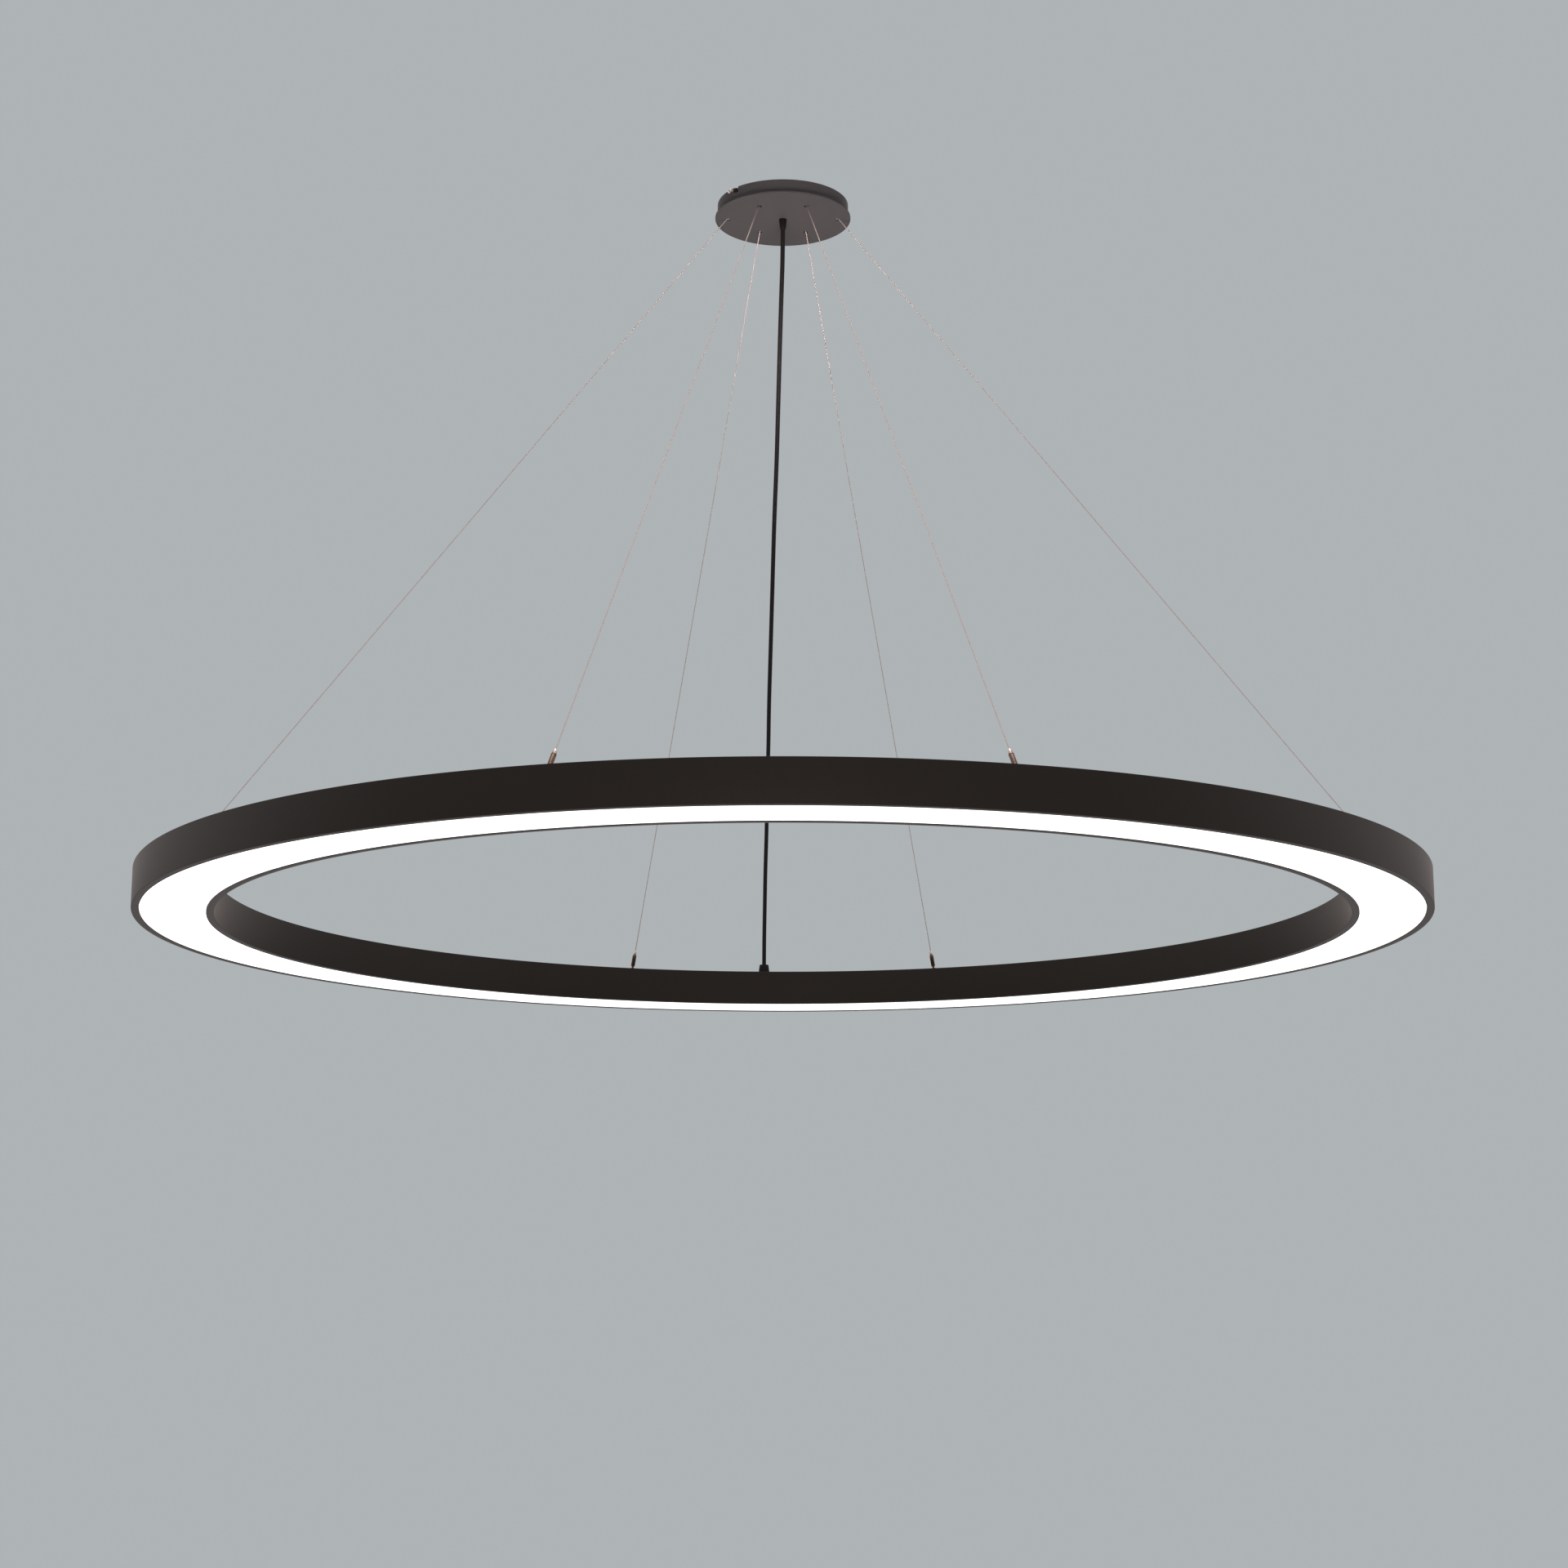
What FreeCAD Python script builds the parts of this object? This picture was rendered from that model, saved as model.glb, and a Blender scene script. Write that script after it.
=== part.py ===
import FreeCAD, Part
import math
import os

from FreeCAD import Placement, Rotation, Vector

# A ring chandelier: a glowing ring on six slanting wires under a small round canopy.
# Millimetres, +Z up. The origin is the centre of the canopy's mounting plate, in the plane of the ceiling.
# Azimuths are in degrees from +X, anticlockwise from above; the front of the lamp faces -Y.

# ---- Driving dimensions ----

hang_drop = 911.0               # ceiling to the lowest face of the ring

# Ring housing: an aluminium channel, open below between two lips
ring_outer_r = 750.0
ring_width = 92.0
ring_height = 45.0
ring_wall = 2.0
lip_width = 9.0
lip_thickness = 2.0

# Opal diffuser, rebated so that it lies on the lips and fills the gap between them
diffuser_gap = 0.3              # sideways play between diffuser and lip
diffuser_recess = 0.5           # how far its face stands back from the lips
diffuser_flange = 2.0
diffuser_overlap = 5.0          # how far the flange reaches over each lip

# Light tray, boards and gear inside the ring
tray_depth = 19.5               # underside of the roof to the top of the tray
tray_thickness = 1.5
tray_clearance = 2.0            # tray edge to lip edge, so that it drops out between the lips
tray_sides = 24                 # the tray is cut with straight edges
tray_pillar_count = 6
tray_pillar_azimuth = 15.0      # of the first pillar, between two boards
tray_pillar_across = 7.0
tray_screw_across = 7.0
tray_screw_height = 2.8
board_count = 12
board_gap = 60.0                # between the ends of two boards, along the ring
board_width = 28.0
board_thickness = 1.6
chips_per_board = 4
chip_size = 5.0
chip_height = 0.8
driver_length = 250.0
driver_width = 38.0
driver_height = 18.0
driver_corner = 3.0             # chamfer of a driver's upright corners
driver_azimuths = (45.0, 121.0)

# Canopy
cup_r = 81.0
cup_wall = 1.2
face_overhang = 3.0             # how far the face stands out past the cup
face_thickness = 1.8
canopy_height = 18.0
tab_count = 4                   # tabs bent inwards from the cup, which the face is screwed to
tab_azimuth = 10.0
tab_length = 9.0
tab_width = 12.0
tab_nut_across = 5.5
tab_nut_height = 2.4

# Mounting plate on the ceiling
plate_gap = 5.8                 # plate's edge to the inside of the cup
plate_thickness = 2.0
ceiling_hole_spacing = 64.0
ceiling_slot_r = 2.5
ceiling_slot_length = 14.0
mains_hole_r = 6.0
mains_hole_y = 22.0
lug_width = 12.0
lug_thickness = 2.0
lug_depth = 12.0
lug_gap = 0.4                   # lug face to the inside of the cup

# Side screws that lock the cup to the plate. The cup is pushed up over them and twisted in its angled slots
lock_azimuths = (220.0, 40.0)
lock_screw_z = -4.4
lock_screw_r = 2.0
lock_screw_length = 7.0
lock_head_r = 3.0
lock_head_length = 5.2
lock_socket_across = 3.0
lock_socket_depth = 3.0
lock_seat_gap = 0.05            # under the head, so that it turns freely
slot_entry_offset = 7.5         # from the screw to the middle of the slot's open leg, round the cup
slot_entry_width = 6.0
slot_entry_depth = 7.2

# Suspension plate and its pillars
hanger_thickness = 1.5
hanger_margin = 8.0             # from a wire to the plate's edge
hanger_end_flat = 18.0
hanger_window_y = 60.0
pillar_length = 5.5
pillar_across = 6.0
pillar_x = 54.0
pillar_y = 16.0
pillar_screw_across = 5.5
pillar_screw_height = 1.7
screw_clearance = 0.2
thread_clearance = 0.05

# Wires, their stops and their grippers
wire_r = 0.6
wire_bore_clearance = 0.15
wire_bend_r = 8.0
wire_corner_z = -12.0           # where the upright and the slanting run of a wire would cross
wire_end_gap = 0.3              # from a wire's end to the bottom of its gripper's bore
wire_hole_r = 3.0
stop_r = 1.8
stop_length = 4.4
side_exit = (70.0, 0.0)         # where the wires leave the canopy's face, mirrored left to right
front_exit = (29.3, -42.0)
back_exit = (29.3, 42.0)
side_anchor_azimuth = 11.2      # behind which the ring's anchors lie, each measured from its own axis
front_anchor_azimuth = 18.5
back_anchor_azimuth = 17.6

pivot_height = 5.0              # gripper's cross pin above the roof
pivot_pin_r = 1.0
tongue_thickness = 1.8
tongue_r = 2.0
ear_thickness = 1.4
ear_gap = 2.1
ear_r = 2.2
anchor_base_across = 9.0
anchor_base_height = 2.2
anchor_nut_across = 8.0
anchor_nut_height = 4.0

gripper_r = 2.75
gripper_start = 4.5             # all along the wire, from the pivot
gripper_end = 23.0
gripper_bore_start = 13.0
tongue_root = 0.5               # how far the tongue runs into the gripper's body
nozzle_stem_r = 1.65
nozzle_clearance = 0.08
nozzle_stem_start = 17.0
nozzle_travel = 2.0
nozzle_stop_gap = 0.3
nozzle_head_length = 4.4
nozzle_head_r = 2.1
spring_r = 1.5
spring_bore_r = 0.9

# Mains cord and its glands
cord_r = 2.8
cord_bore_clearance = 0.15
grip_stem_r = 4.5
grip_base_r = 4.9
grip_tip_r = 3.5
grip_length = 13.0
grip_nut_across = 14.0
grip_nut_height = 4.0
gland_stem_r = 6.0
gland_base_r = 8.5
gland_tip_r = 6.3
gland_height = 16.0
gland_nut_across = 17.0
gland_nut_height = 4.0
gland_x = -27.0                 # the gland's place on the ring's middle line
stem_projection = 1.5           # how far a stem stands past its nut
core_r = 0.7
core_pitch = 1.7
core_rise = 3.0                 # from the cord's end to the cores' level run in the canopy
lead_r = 1.6
lead_lift = 0.4                 # leads lie this far above the tray
lead_gap = 0.3                  # from a lead's end to the driver or block that it goes into

# Terminal blocks and the earth screw
block_length = 40.0
block_width = 14.0
block_height = 10.0
canopy_block_y = -21.0
ring_block_offset = 57.0        # from the gland to the middle of the ring's block
ring_block_height = 12.0
earth_screw_x = -22.0
earth_screw_y = 20.0
earth_screw_across = 7.0
earth_screw_height = 2.4

# Small round pieces are drawn with this many sides: more on what shows, fewer on pins, bores, wires and cords
shown_sides = 12
small_sides = 8

# ---- Places worked out from them ----

ring_bottom = -hang_drop
ring_top = ring_bottom + ring_height
roof_under = ring_top - ring_wall
ring_inner_r = ring_outer_r - ring_width
diffuser_outer_r = ring_outer_r - lip_width
diffuser_inner_r = ring_inner_r + lip_width
tray_outer_r = diffuser_outer_r - tray_clearance
tray_inner_r = diffuser_inner_r + tray_clearance
tray_top = roof_under - tray_depth
tray_under = tray_top - tray_thickness
mid_r = (ring_outer_r + ring_inner_r) / 2

board_length = 2 * mid_r * math.tan(math.pi / board_count) - board_gap
gland_y = math.sqrt(mid_r ** 2 - gland_x ** 2)
ring_block_x = gland_x + ring_block_offset
lead_z = tray_top + lead_lift + lead_r

face_r = cup_r + face_overhang
face_under = -canopy_height
face_top = face_under + face_thickness
cup_inner_r = cup_r - cup_wall
plate_r = cup_inner_r - plate_gap
lug_outer_r = cup_inner_r - lug_gap
hanger_top = -plate_thickness - pillar_length
hanger_under = hanger_top - hanger_thickness
pivot_z = ring_top + pivot_height
nozzle_head_start = gripper_end + nozzle_travel + nozzle_stop_gap
nozzle_end = nozzle_head_start + nozzle_head_length
cord_bore_r = cord_r + cord_bore_clearance
wire_bore_r = wire_r + wire_bore_clearance
UP = Vector(0, 0, 1)

# The cord's route, chosen by hand: upright out of the canopy, a long easy sag, upright into the ring
cord_start_z = hanger_under
cord_end_z = roof_under - gland_nut_height - stem_projection - 3.5
cord_route = [
    (0, 0, cord_start_z), (0, 0, -62), (-2, 14, -116), (-4, 45, -174), (-6, 91, -232), (-8, 144, -288),
    (-11, 200, -341), (-13, 258, -392), (-15, 318, -441), (-17, 379, -488), (-19, 440, -534),
    (-20, 501, -579), (-22, 560, -625), (-23, 614, -672), (-25, 656, -721), (-26, 687, -771),
    (gland_x, gland_y, -824), (gland_x, gland_y, cord_end_z),
]


# ---- Shared helpers ----

def export(name, shape):
    shape.exportStep("parts/" + name + ".step")


def cylinder(radius, low, high, x=0.0, y=0.0):
    return Part.makeCylinder(radius, high - low, Vector(x, y, low))


def box(x_size, y_size, low, high, x=0.0, y=0.0):
    return Part.makeBox(x_size, y_size, high - low, Vector(x - x_size / 2, y - y_size / 2, low))


def prism(outline, low, high):
    points = [Vector(x, y, low) for x, y in outline]
    face = Part.Face(Part.makePolygon(points + points[:1]))
    return face.extrude(Vector(0, 0, high - low))


def polygon(corner_r, sides, x=0.0, y=0.0):
    """Corners of a regular polygon, one of its flats facing +X."""
    turns = [2 * math.pi * (i + 0.5) / sides for i in range(sides)]
    return [(x + corner_r * math.cos(a), y + corner_r * math.sin(a)) for a in turns]


def hexagon(across, low, high, x=0.0, y=0.0):
    return prism(polygon(across / math.sqrt(3), 6, x, y), low, high)


def peg(radius, low, high, x=0.0, y=0.0, sides=small_sides):
    """Small round piece, which stays inside its radius."""
    return prism(polygon(radius, sides, x, y), low, high)


def bore(radius, low, high, x=0.0, y=0.0, sides=small_sides):
    """Cutter for a small round hole, which stays outside its radius."""
    return prism(polygon(radius / math.cos(math.pi / sides), sides, x, y), low, high)


def taper(low_r, high_r, low, high, x=0.0, y=0.0):
    """Small round piece that narrows from one radius to another."""
    lower, upper = [[Vector(*corner, z) for corner in polygon(radius, shown_sides, x, y)]
                    for radius, z in ((low_r, low), (high_r, high))]
    outlines = [lower, upper]
    outlines += [[lower[i - 1], lower[i], upper[i], upper[i - 1]] for i in range(shown_sides)]
    faces = [Part.Face(Part.makePolygon(corners + corners[:1])) for corners in outlines]
    return Part.Solid(Part.Shell(faces))


def turned(profile):
    """Solid of revolution about Z of a closed outline of (radius, height) points."""
    points = [Vector(r, 0, z) for r, z in profile]
    face = Part.Face(Part.makePolygon(points + points[:1]))
    return face.revolve(Vector(0, 0, 0), UP, 360)


def at_azimuth(radius, azimuth):
    angle = math.radians(azimuth)
    return radius * math.cos(angle), radius * math.sin(angle)


def spun(shape, azimuth):
    """Copy of a shape turned about Z."""
    copy = shape.copy()
    copy.Placement = Placement(Vector(0, 0, 0), Rotation(UP, azimuth)).multiply(copy.Placement)
    return copy


def outward(shape, azimuth, z):
    """Copy of a shape built along +Z, laid down so that +Z points away from the lamp's axis."""
    copy = shape.copy()
    lay = Rotation(UP, azimuth).multiply(Rotation(Vector(0, 1, 0), 90))
    copy.Placement = Placement(Vector(0, 0, z), lay).multiply(copy.Placement)
    return copy


def rounded_path(points, radius=None):
    """Straight runs joined by tangent arcs. Without a radius, each arc is as large as its runs allow."""
    corners = [Vector(*p) for p in points]
    edges, radii, start = [], [], corners[0]
    for before, corner, after in zip(corners, corners[1:], corners[2:]):
        back, on = (before - corner), (after - corner)
        shorter = min(back.Length, on.Length)
        back.normalize()
        on.normalize()
        half_turn = (math.pi - back.getAngle(on)) / 2
        tangent = radius * math.tan(half_turn) if radius else 0.45 * shorter
        arc_r = tangent / math.tan(half_turn)
        first, last = corner + back * tangent, corner + on * tangent
        middle = back + on
        middle.normalize()
        centre = corner + middle * (arc_r / math.cos(half_turn))
        top = centre - middle * arc_r
        edges.append(Part.LineSegment(start, first).toShape())
        edges.append(Part.Arc(first, top, last).toShape())
        radii.append(arc_r)
        start = last
    edges.append(Part.LineSegment(start, corners[-1]).toShape())
    return edges, radii


def section(points, tube_r):
    """Many-sided section of a tube, square to its first run."""
    first, second = Vector(*points[0]), Vector(*points[1])
    turn = Rotation(UP, second - first)
    corners = [first + turn.multVec(Vector(x, y, 0)) for x, y in polygon(tube_r, small_sides)]
    return Part.makePolygon(corners + corners[:1])


def tube(points, tube_r, bend_r=None):
    """Tube along a route whose corners are rounded, with its length and bend radii."""
    edges, radii = rounded_path(points, bend_r)
    path = Part.Wire(edges)
    return path.makePipeShell([section(points, tube_r)], True, False), path.Length, radii


def mitred_tube(points, tube_r):
    """Tube along a route with sharp corners."""
    path = Part.makePolygon([Vector(*p) for p in points])
    return path.makePipeShell([section(points, tube_r)], True, False, 1)


# ---- Ring ----

def ring_housing():
    profile = [
        (ring_outer_r, ring_top), (ring_outer_r, ring_bottom), (diffuser_outer_r, ring_bottom),
        (diffuser_outer_r, ring_bottom + lip_thickness),
        (ring_outer_r - ring_wall, ring_bottom + lip_thickness), (ring_outer_r - ring_wall, roof_under),
        (ring_inner_r + ring_wall, roof_under), (ring_inner_r + ring_wall, ring_bottom + lip_thickness),
        (diffuser_inner_r, ring_bottom + lip_thickness), (diffuser_inner_r, ring_bottom),
        (ring_inner_r, ring_bottom), (ring_inner_r, ring_top),
    ]
    hole = bore(gland_stem_r + screw_clearance, roof_under - 1, ring_top + 1, gland_x, gland_y)
    return turned(profile).cut(hole)


def diffuser():
    flange_low = ring_bottom + lip_thickness
    flange_high = flange_low + diffuser_flange
    face_z = ring_bottom + diffuser_recess
    outer, inner = diffuser_outer_r - diffuser_gap, diffuser_inner_r + diffuser_gap
    flange_outer, flange_inner = diffuser_outer_r + diffuser_overlap, diffuser_inner_r - diffuser_overlap
    return turned([
        (outer, face_z), (outer, flange_low), (flange_outer, flange_low), (flange_outer, flange_high),
        (flange_inner, flange_high), (flange_inner, flange_low), (inner, flange_low), (inner, face_z),
    ])


def tray_pillar_places():
    step = 360.0 / tray_pillar_count
    return [at_azimuth(mid_r, tray_pillar_azimuth + step * i) for i in range(tray_pillar_count)]


def led_tray():
    outer = prism(polygon(tray_outer_r, tray_sides), tray_under, tray_top)
    inner_corner_r = tray_inner_r / math.cos(math.pi / tray_sides)
    inner = prism(polygon(inner_corner_r, tray_sides), tray_under - 1, tray_top + 1)
    return spun(outer.cut(inner), 180.0 / tray_sides)


def tray_pillars():
    """Pillars between the roof and the tray."""
    solids = [hexagon(tray_pillar_across, tray_top, roof_under, *place) for place in tray_pillar_places()]
    return Part.makeCompound(solids)


def tray_screws():
    """Heads of the screws that hold the tray to its pillars, between the boards."""
    low = tray_under - tray_screw_height
    solids = [hexagon(tray_screw_across, low, tray_under, *place) for place in tray_pillar_places()]
    return Part.makeCompound(solids)


def board_azimuths():
    return [360.0 / board_count * i for i in range(board_count)]


def led_boards():
    board = box(board_width, board_length, tray_under - board_thickness, tray_under, mid_r)
    return Part.makeCompound([spun(board, azimuth) for azimuth in board_azimuths()])


def led_chips():
    high, pitch = tray_under - board_thickness, board_length / chips_per_board
    places = [pitch * (i - (chips_per_board - 1) / 2) for i in range(chips_per_board)]
    chips = [box(chip_size, chip_size, high - chip_height, high, mid_r, y) for y in places]
    return Part.makeCompound([spun(chip, azimuth) for azimuth in board_azimuths() for chip in chips])


def driver(azimuth):
    case = box(driver_width, driver_length, tray_top, tray_top + driver_height, mid_r)
    upright = [e for e in case.Edges if abs(e.tangentAt(e.FirstParameter).z) > 0.9]
    return spun(case.makeChamfer(driver_corner, upright), azimuth)


def driver_end(azimuth, side):
    """Middle of a driver's end face, towards higher (1) or lower (-1) azimuths, and the way that it faces."""
    turn = Rotation(UP, azimuth)
    return turn.multVec(Vector(mid_r, side * driver_length / 2, lead_z)), turn.multVec(Vector(0, side, 0))


def ring_terminal_block():
    return box(block_length, block_width, tray_top, tray_top + ring_block_height, ring_block_x, gland_y)


def ring_leads():
    """Cores from the cord to the terminal block, and a lead from there to each driver."""
    turn_z = tray_top + ring_block_height / 2
    left, right = ring_block_x - block_length / 2, ring_block_x + block_length / 2
    solids = []
    for y in (gland_y - core_pitch, gland_y, gland_y + core_pitch):
        route = [(gland_x, y, cord_end_z), (gland_x, y, turn_z), (left, y, turn_z)]
        solids.append(mitred_tube(route, core_r))
    right_end = Vector(right, gland_y, lead_z), Vector(1, 0, 0)
    left_end = Vector(left, gland_y, lead_z), Vector(-1, 0, 0)
    solids.append(straight_lead(right_end, driver_end(driver_azimuths[0], 1)))
    solids.append(straight_lead(left_end, driver_end(driver_azimuths[1], -1)))
    return Part.makeCompound(solids)


def straight_lead(*ends):
    """Lead between two end faces, each a point and the way that it faces. It stops short of both."""
    start, end = [point for point, facing in ends]
    run = end - start
    run.normalize()
    slants = [math.acos(abs(run.dot(facing))) for point, facing in ends]
    back = [run * (lead_gap + lead_r * math.tan(slant)) for slant in slants]
    return mitred_tube([start + back[0], end - back[1]], lead_r)


def cord_gland():
    body = taper(gland_base_r, gland_tip_r, ring_top, ring_top + gland_height, gland_x, gland_y)
    stem = peg(gland_stem_r, roof_under - gland_nut_height - stem_projection, ring_top, gland_x, gland_y)
    hole = bore(cord_bore_r, ring_bottom, ring_top + gland_height + 1, gland_x, gland_y)
    return body.fuse(stem).cut(hole)


def gland_nut():
    low = roof_under - gland_nut_height
    nut = hexagon(gland_nut_across, low, roof_under, gland_x, gland_y)
    return nut.cut(bore(gland_stem_r + thread_clearance, low - 1, roof_under + 1, gland_x, gland_y))


# ---- Canopy ----

def ceiling_plate():
    lug_inner_r = lug_outer_r - lug_thickness
    lug = box(lug_thickness, lug_width, -lug_depth, 0, (lug_outer_r + lug_inner_r) / 2)
    tab = box(lug_outer_r - plate_r / 2, lug_width, -plate_thickness, 0, (lug_outer_r + plate_r / 2) / 2)
    shape = cylinder(plate_r, -plate_thickness, 0)
    for azimuth in lock_azimuths:
        shape = shape.fuse(spun(lug.fuse(tab), azimuth))
    shape = shape.removeSplitter()
    holes = [cylinder(mains_hole_r, -plate_thickness - 1, 1, 0, mains_hole_y)]
    holes += [slot(side * ceiling_hole_spacing / 2) for side in (-1, 1)]
    thread = bore(lock_screw_r + thread_clearance, lug_inner_r - 1, lug_outer_r + 1)
    holes += [outward(thread, azimuth, lock_screw_z) for azimuth in lock_azimuths]
    return shape.cut(Part.makeCompound(holes))


def slot(x):
    low, high, straight = -plate_thickness - 1, 1, ceiling_slot_length - 2 * ceiling_slot_r
    middle = box(straight, 2 * ceiling_slot_r, low, high, x)
    ends = [cylinder(ceiling_slot_r, low, high, x + side * straight / 2) for side in (-1, 1)]
    return middle.fuse(ends).removeSplitter()


def pillar_places():
    return [(sx * pillar_x, sy * pillar_y) for sx in (-1, 1) for sy in (-1, 1)]


def hanger_pillars():
    """Pillars that carry the hanger plate, welded to the mounting plate."""
    solids = [hexagon(pillar_across, hanger_top, -plate_thickness, *place) for place in pillar_places()]
    return Part.makeCompound(solids)


def hanger_screws():
    """Heads of the screws that hold the hanger plate to its pillars."""
    low = hanger_under - pillar_screw_height
    solids = [hexagon(pillar_screw_across, low, hanger_under, *place) for place in pillar_places()]
    return Part.makeCompound(solids)


def hanger_plate():
    """The plate that carries the wires: a stretched octagon with a window for the terminals."""
    wire_x = max(abs(s["corner"].x) for s in suspensions()) + hanger_margin
    wire_y = max(abs(s["corner"].y) for s in suspensions()) + hanger_margin
    half_flat_y, half_flat_x = hanger_end_flat / 2, front_exit[0] + hanger_margin
    outline = [
        (wire_x, half_flat_y), (half_flat_x, wire_y), (-half_flat_x, wire_y), (-wire_x, half_flat_y),
        (-wire_x, -half_flat_y), (-half_flat_x, -wire_y), (half_flat_x, -wire_y), (wire_x, -half_flat_y),
    ]
    window = box(2 * (pillar_x - hanger_margin), hanger_window_y, hanger_under - 1, hanger_top + 1)
    holes = [bore(wire_bore_r, hanger_under - 1, hanger_top + 1, s["corner"].x, s["corner"].y)
             for s in suspensions()]
    return prism(outline, hanger_under, hanger_top).cut(Part.makeCompound([window] + holes))


def canopy_cup():
    """The upright wall, its angled slots, and tabs bent inwards over the face."""
    shape = cylinder(cup_r, face_top, 0).cut(cylinder(cup_inner_r, face_top - 1, 1))
    root = cup_wall / 2
    middle = cup_inner_r + root - (tab_length + root) / 2
    tab = box(tab_length + root, tab_width, face_top, face_top + cup_wall, middle)
    shape = shape.fuse([spun(tab, azimuth) for azimuth in tab_azimuths()])
    return shape.cut(Part.makeCompound([spun(bayonet_slot(), azimuth) for azimuth in lock_azimuths]))


def bayonet_slot():
    """Cutter at azimuth 0 for the angled slot: an upright leg open at the rim and one along to the screw."""
    depth, half_height = face_r - plate_r, lock_screw_r + screw_clearance
    entry_low_y = slot_entry_offset - slot_entry_width / 2
    entry = Part.makeBox(depth, slot_entry_width, slot_entry_depth + 1,
                         Vector(plate_r, entry_low_y, -slot_entry_depth))
    along = Part.makeBox(depth, slot_entry_offset + half_height, 2 * half_height,
                         Vector(plate_r, -half_height, lock_screw_z - half_height))
    return entry.fuse(along).removeSplitter()


def tab_azimuths():
    return [tab_azimuth + 360.0 / tab_count * i for i in range(tab_count)]


def canopy_face():
    low, high = face_under - 1, face_top + 1
    holes = [bore(grip_stem_r + thread_clearance, low, high)]
    hole_back = wire_hole_r - wire_r - wire_bore_clearance * 2
    for suspension in suspensions():
        centre = suspension["exit"] - suspension["heading"] * hole_back
        holes.append(bore(wire_hole_r, low, high, centre.x, centre.y, shown_sides))
    return cylinder(face_r, face_under, face_top).cut(Part.makeCompound(holes))


def face_nuts():
    """Nuts on the tabs, which hold the face to the cup."""
    low, radius = face_top + cup_wall, cup_inner_r - tab_length / 2
    places = [at_azimuth(radius, azimuth) for azimuth in tab_azimuths()]
    return Part.makeCompound([hexagon(tab_nut_across, low, low + tab_nut_height, *p) for p in places])


def lock_screw(azimuth):
    """Side screw, built along +Z from the cup's axis outwards."""
    seat = cup_r + lock_seat_gap
    end = seat + lock_head_length
    head = peg(lock_head_r, seat, end, sides=shown_sides)
    shank = cylinder(lock_screw_r, seat - lock_screw_length, seat)
    socket = hexagon(lock_socket_across, end - lock_socket_depth, end + 1)
    return outward(head.fuse(shank).cut(socket), azimuth, lock_screw_z)


def canopy_terminal_block():
    low = -plate_thickness - block_height
    return box(block_length, block_width, low, -plate_thickness, 0, canopy_block_y)


def earth_screw():
    return hexagon(earth_screw_across, -plate_thickness - earth_screw_height, -plate_thickness,
                   earth_screw_x, earth_screw_y)


def cord_grip():
    body = taper(grip_tip_r, grip_base_r, face_under - grip_length, face_under)
    stem = peg(grip_stem_r, face_under, face_top + grip_nut_height + stem_projection)
    return body.fuse(stem).cut(bore(cord_bore_r, face_under - grip_length - 1, 0))


def grip_nut():
    high = face_top + grip_nut_height
    nut = hexagon(grip_nut_across, face_top, high)
    return nut.cut(bore(grip_stem_r + thread_clearance, face_top - 1, high + 1))


def canopy_leads():
    """Cores from the cord to the terminal block in the canopy."""
    turn_z, block_front = cord_start_z + core_rise, canopy_block_y + block_width / 2
    return Part.makeCompound([
        mitred_tube([(x, 0, cord_start_z), (x, 0, turn_z), (x, block_front, turn_z)], core_r)
        for x in (-core_pitch, 0.0, core_pitch)])


# ---- Suspension ----

def suspensions():
    """The six wires, clockwise from the front left: where each leaves the canopy and meets the ring."""
    places = [
        (-1, front_exit, 270.0 - front_anchor_azimuth),
        (-1, side_exit, 180.0 + side_anchor_azimuth),
        (-1, back_exit, 90.0 + back_anchor_azimuth),
        (1, back_exit, 90.0 - back_anchor_azimuth),
        (1, side_exit, -side_anchor_azimuth),
        (1, front_exit, 270.0 + front_anchor_azimuth),
    ]
    found = []
    for side, (exit_x, exit_y), azimuth in places:
        leave = Vector(side * exit_x, exit_y, face_under)
        pivot = Vector(*at_azimuth(mid_r, azimuth), pivot_z)
        along = leave - pivot
        along.normalize()
        heading = Vector(-along.x, -along.y, 0)
        heading.normalize()
        corner = leave + along * ((wire_corner_z - face_under) / along.z)
        found.append({"pivot": pivot, "exit": leave, "along": along, "heading": heading, "corner": corner})
    return found


def on_wire(shape, suspension):
    """Moves a shape built along +Z onto a wire: Z runs up the wire and Y along the cross pin."""
    along, pin = suspension["along"], UP.cross(suspension["heading"])
    copy = shape.copy()
    turn = Rotation(pin.cross(along), pin, along, "ZXY")
    copy.Placement = Placement(suspension["pivot"], turn).multiply(copy.Placement)
    return copy


def at_pivot(shape, suspension):
    """Moves a shape built at the origin onto a gripper's pivot, upright: X points away from the canopy."""
    heading = suspension["heading"]
    copy = spun(shape, math.degrees(math.atan2(heading.y, heading.x)))
    return copy.translated(suspension["pivot"])


def wire(suspension):
    corner = suspension["corner"]
    top = Vector(corner.x, corner.y, hanger_top)
    end = suspension["pivot"] + suspension["along"] * (gripper_bore_start + wire_end_gap)
    return tube([tuple(end), tuple(corner), tuple(top)], wire_r, wire_bend_r)[0]


def wire_stops():
    """Ferrules pressed on the wires' ends, which rest on the hanger plate."""
    high = hanger_top + stop_length
    corners = [suspension["corner"] for suspension in suspensions()]
    return Part.makeCompound([peg(stop_r, hanger_top, high, corner.x, corner.y) for corner in corners])


def gripper_body():
    barrel = peg(gripper_r, gripper_start, gripper_end, sides=shown_sides)
    eye = eye_plate(tongue_r, tongue_thickness, gripper_start + tongue_root)
    shape = barrel.fuse(eye).removeSplitter()
    return shape.cut(bore(nozzle_stem_r + nozzle_clearance, gripper_bore_start, gripper_end + 1))


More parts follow.
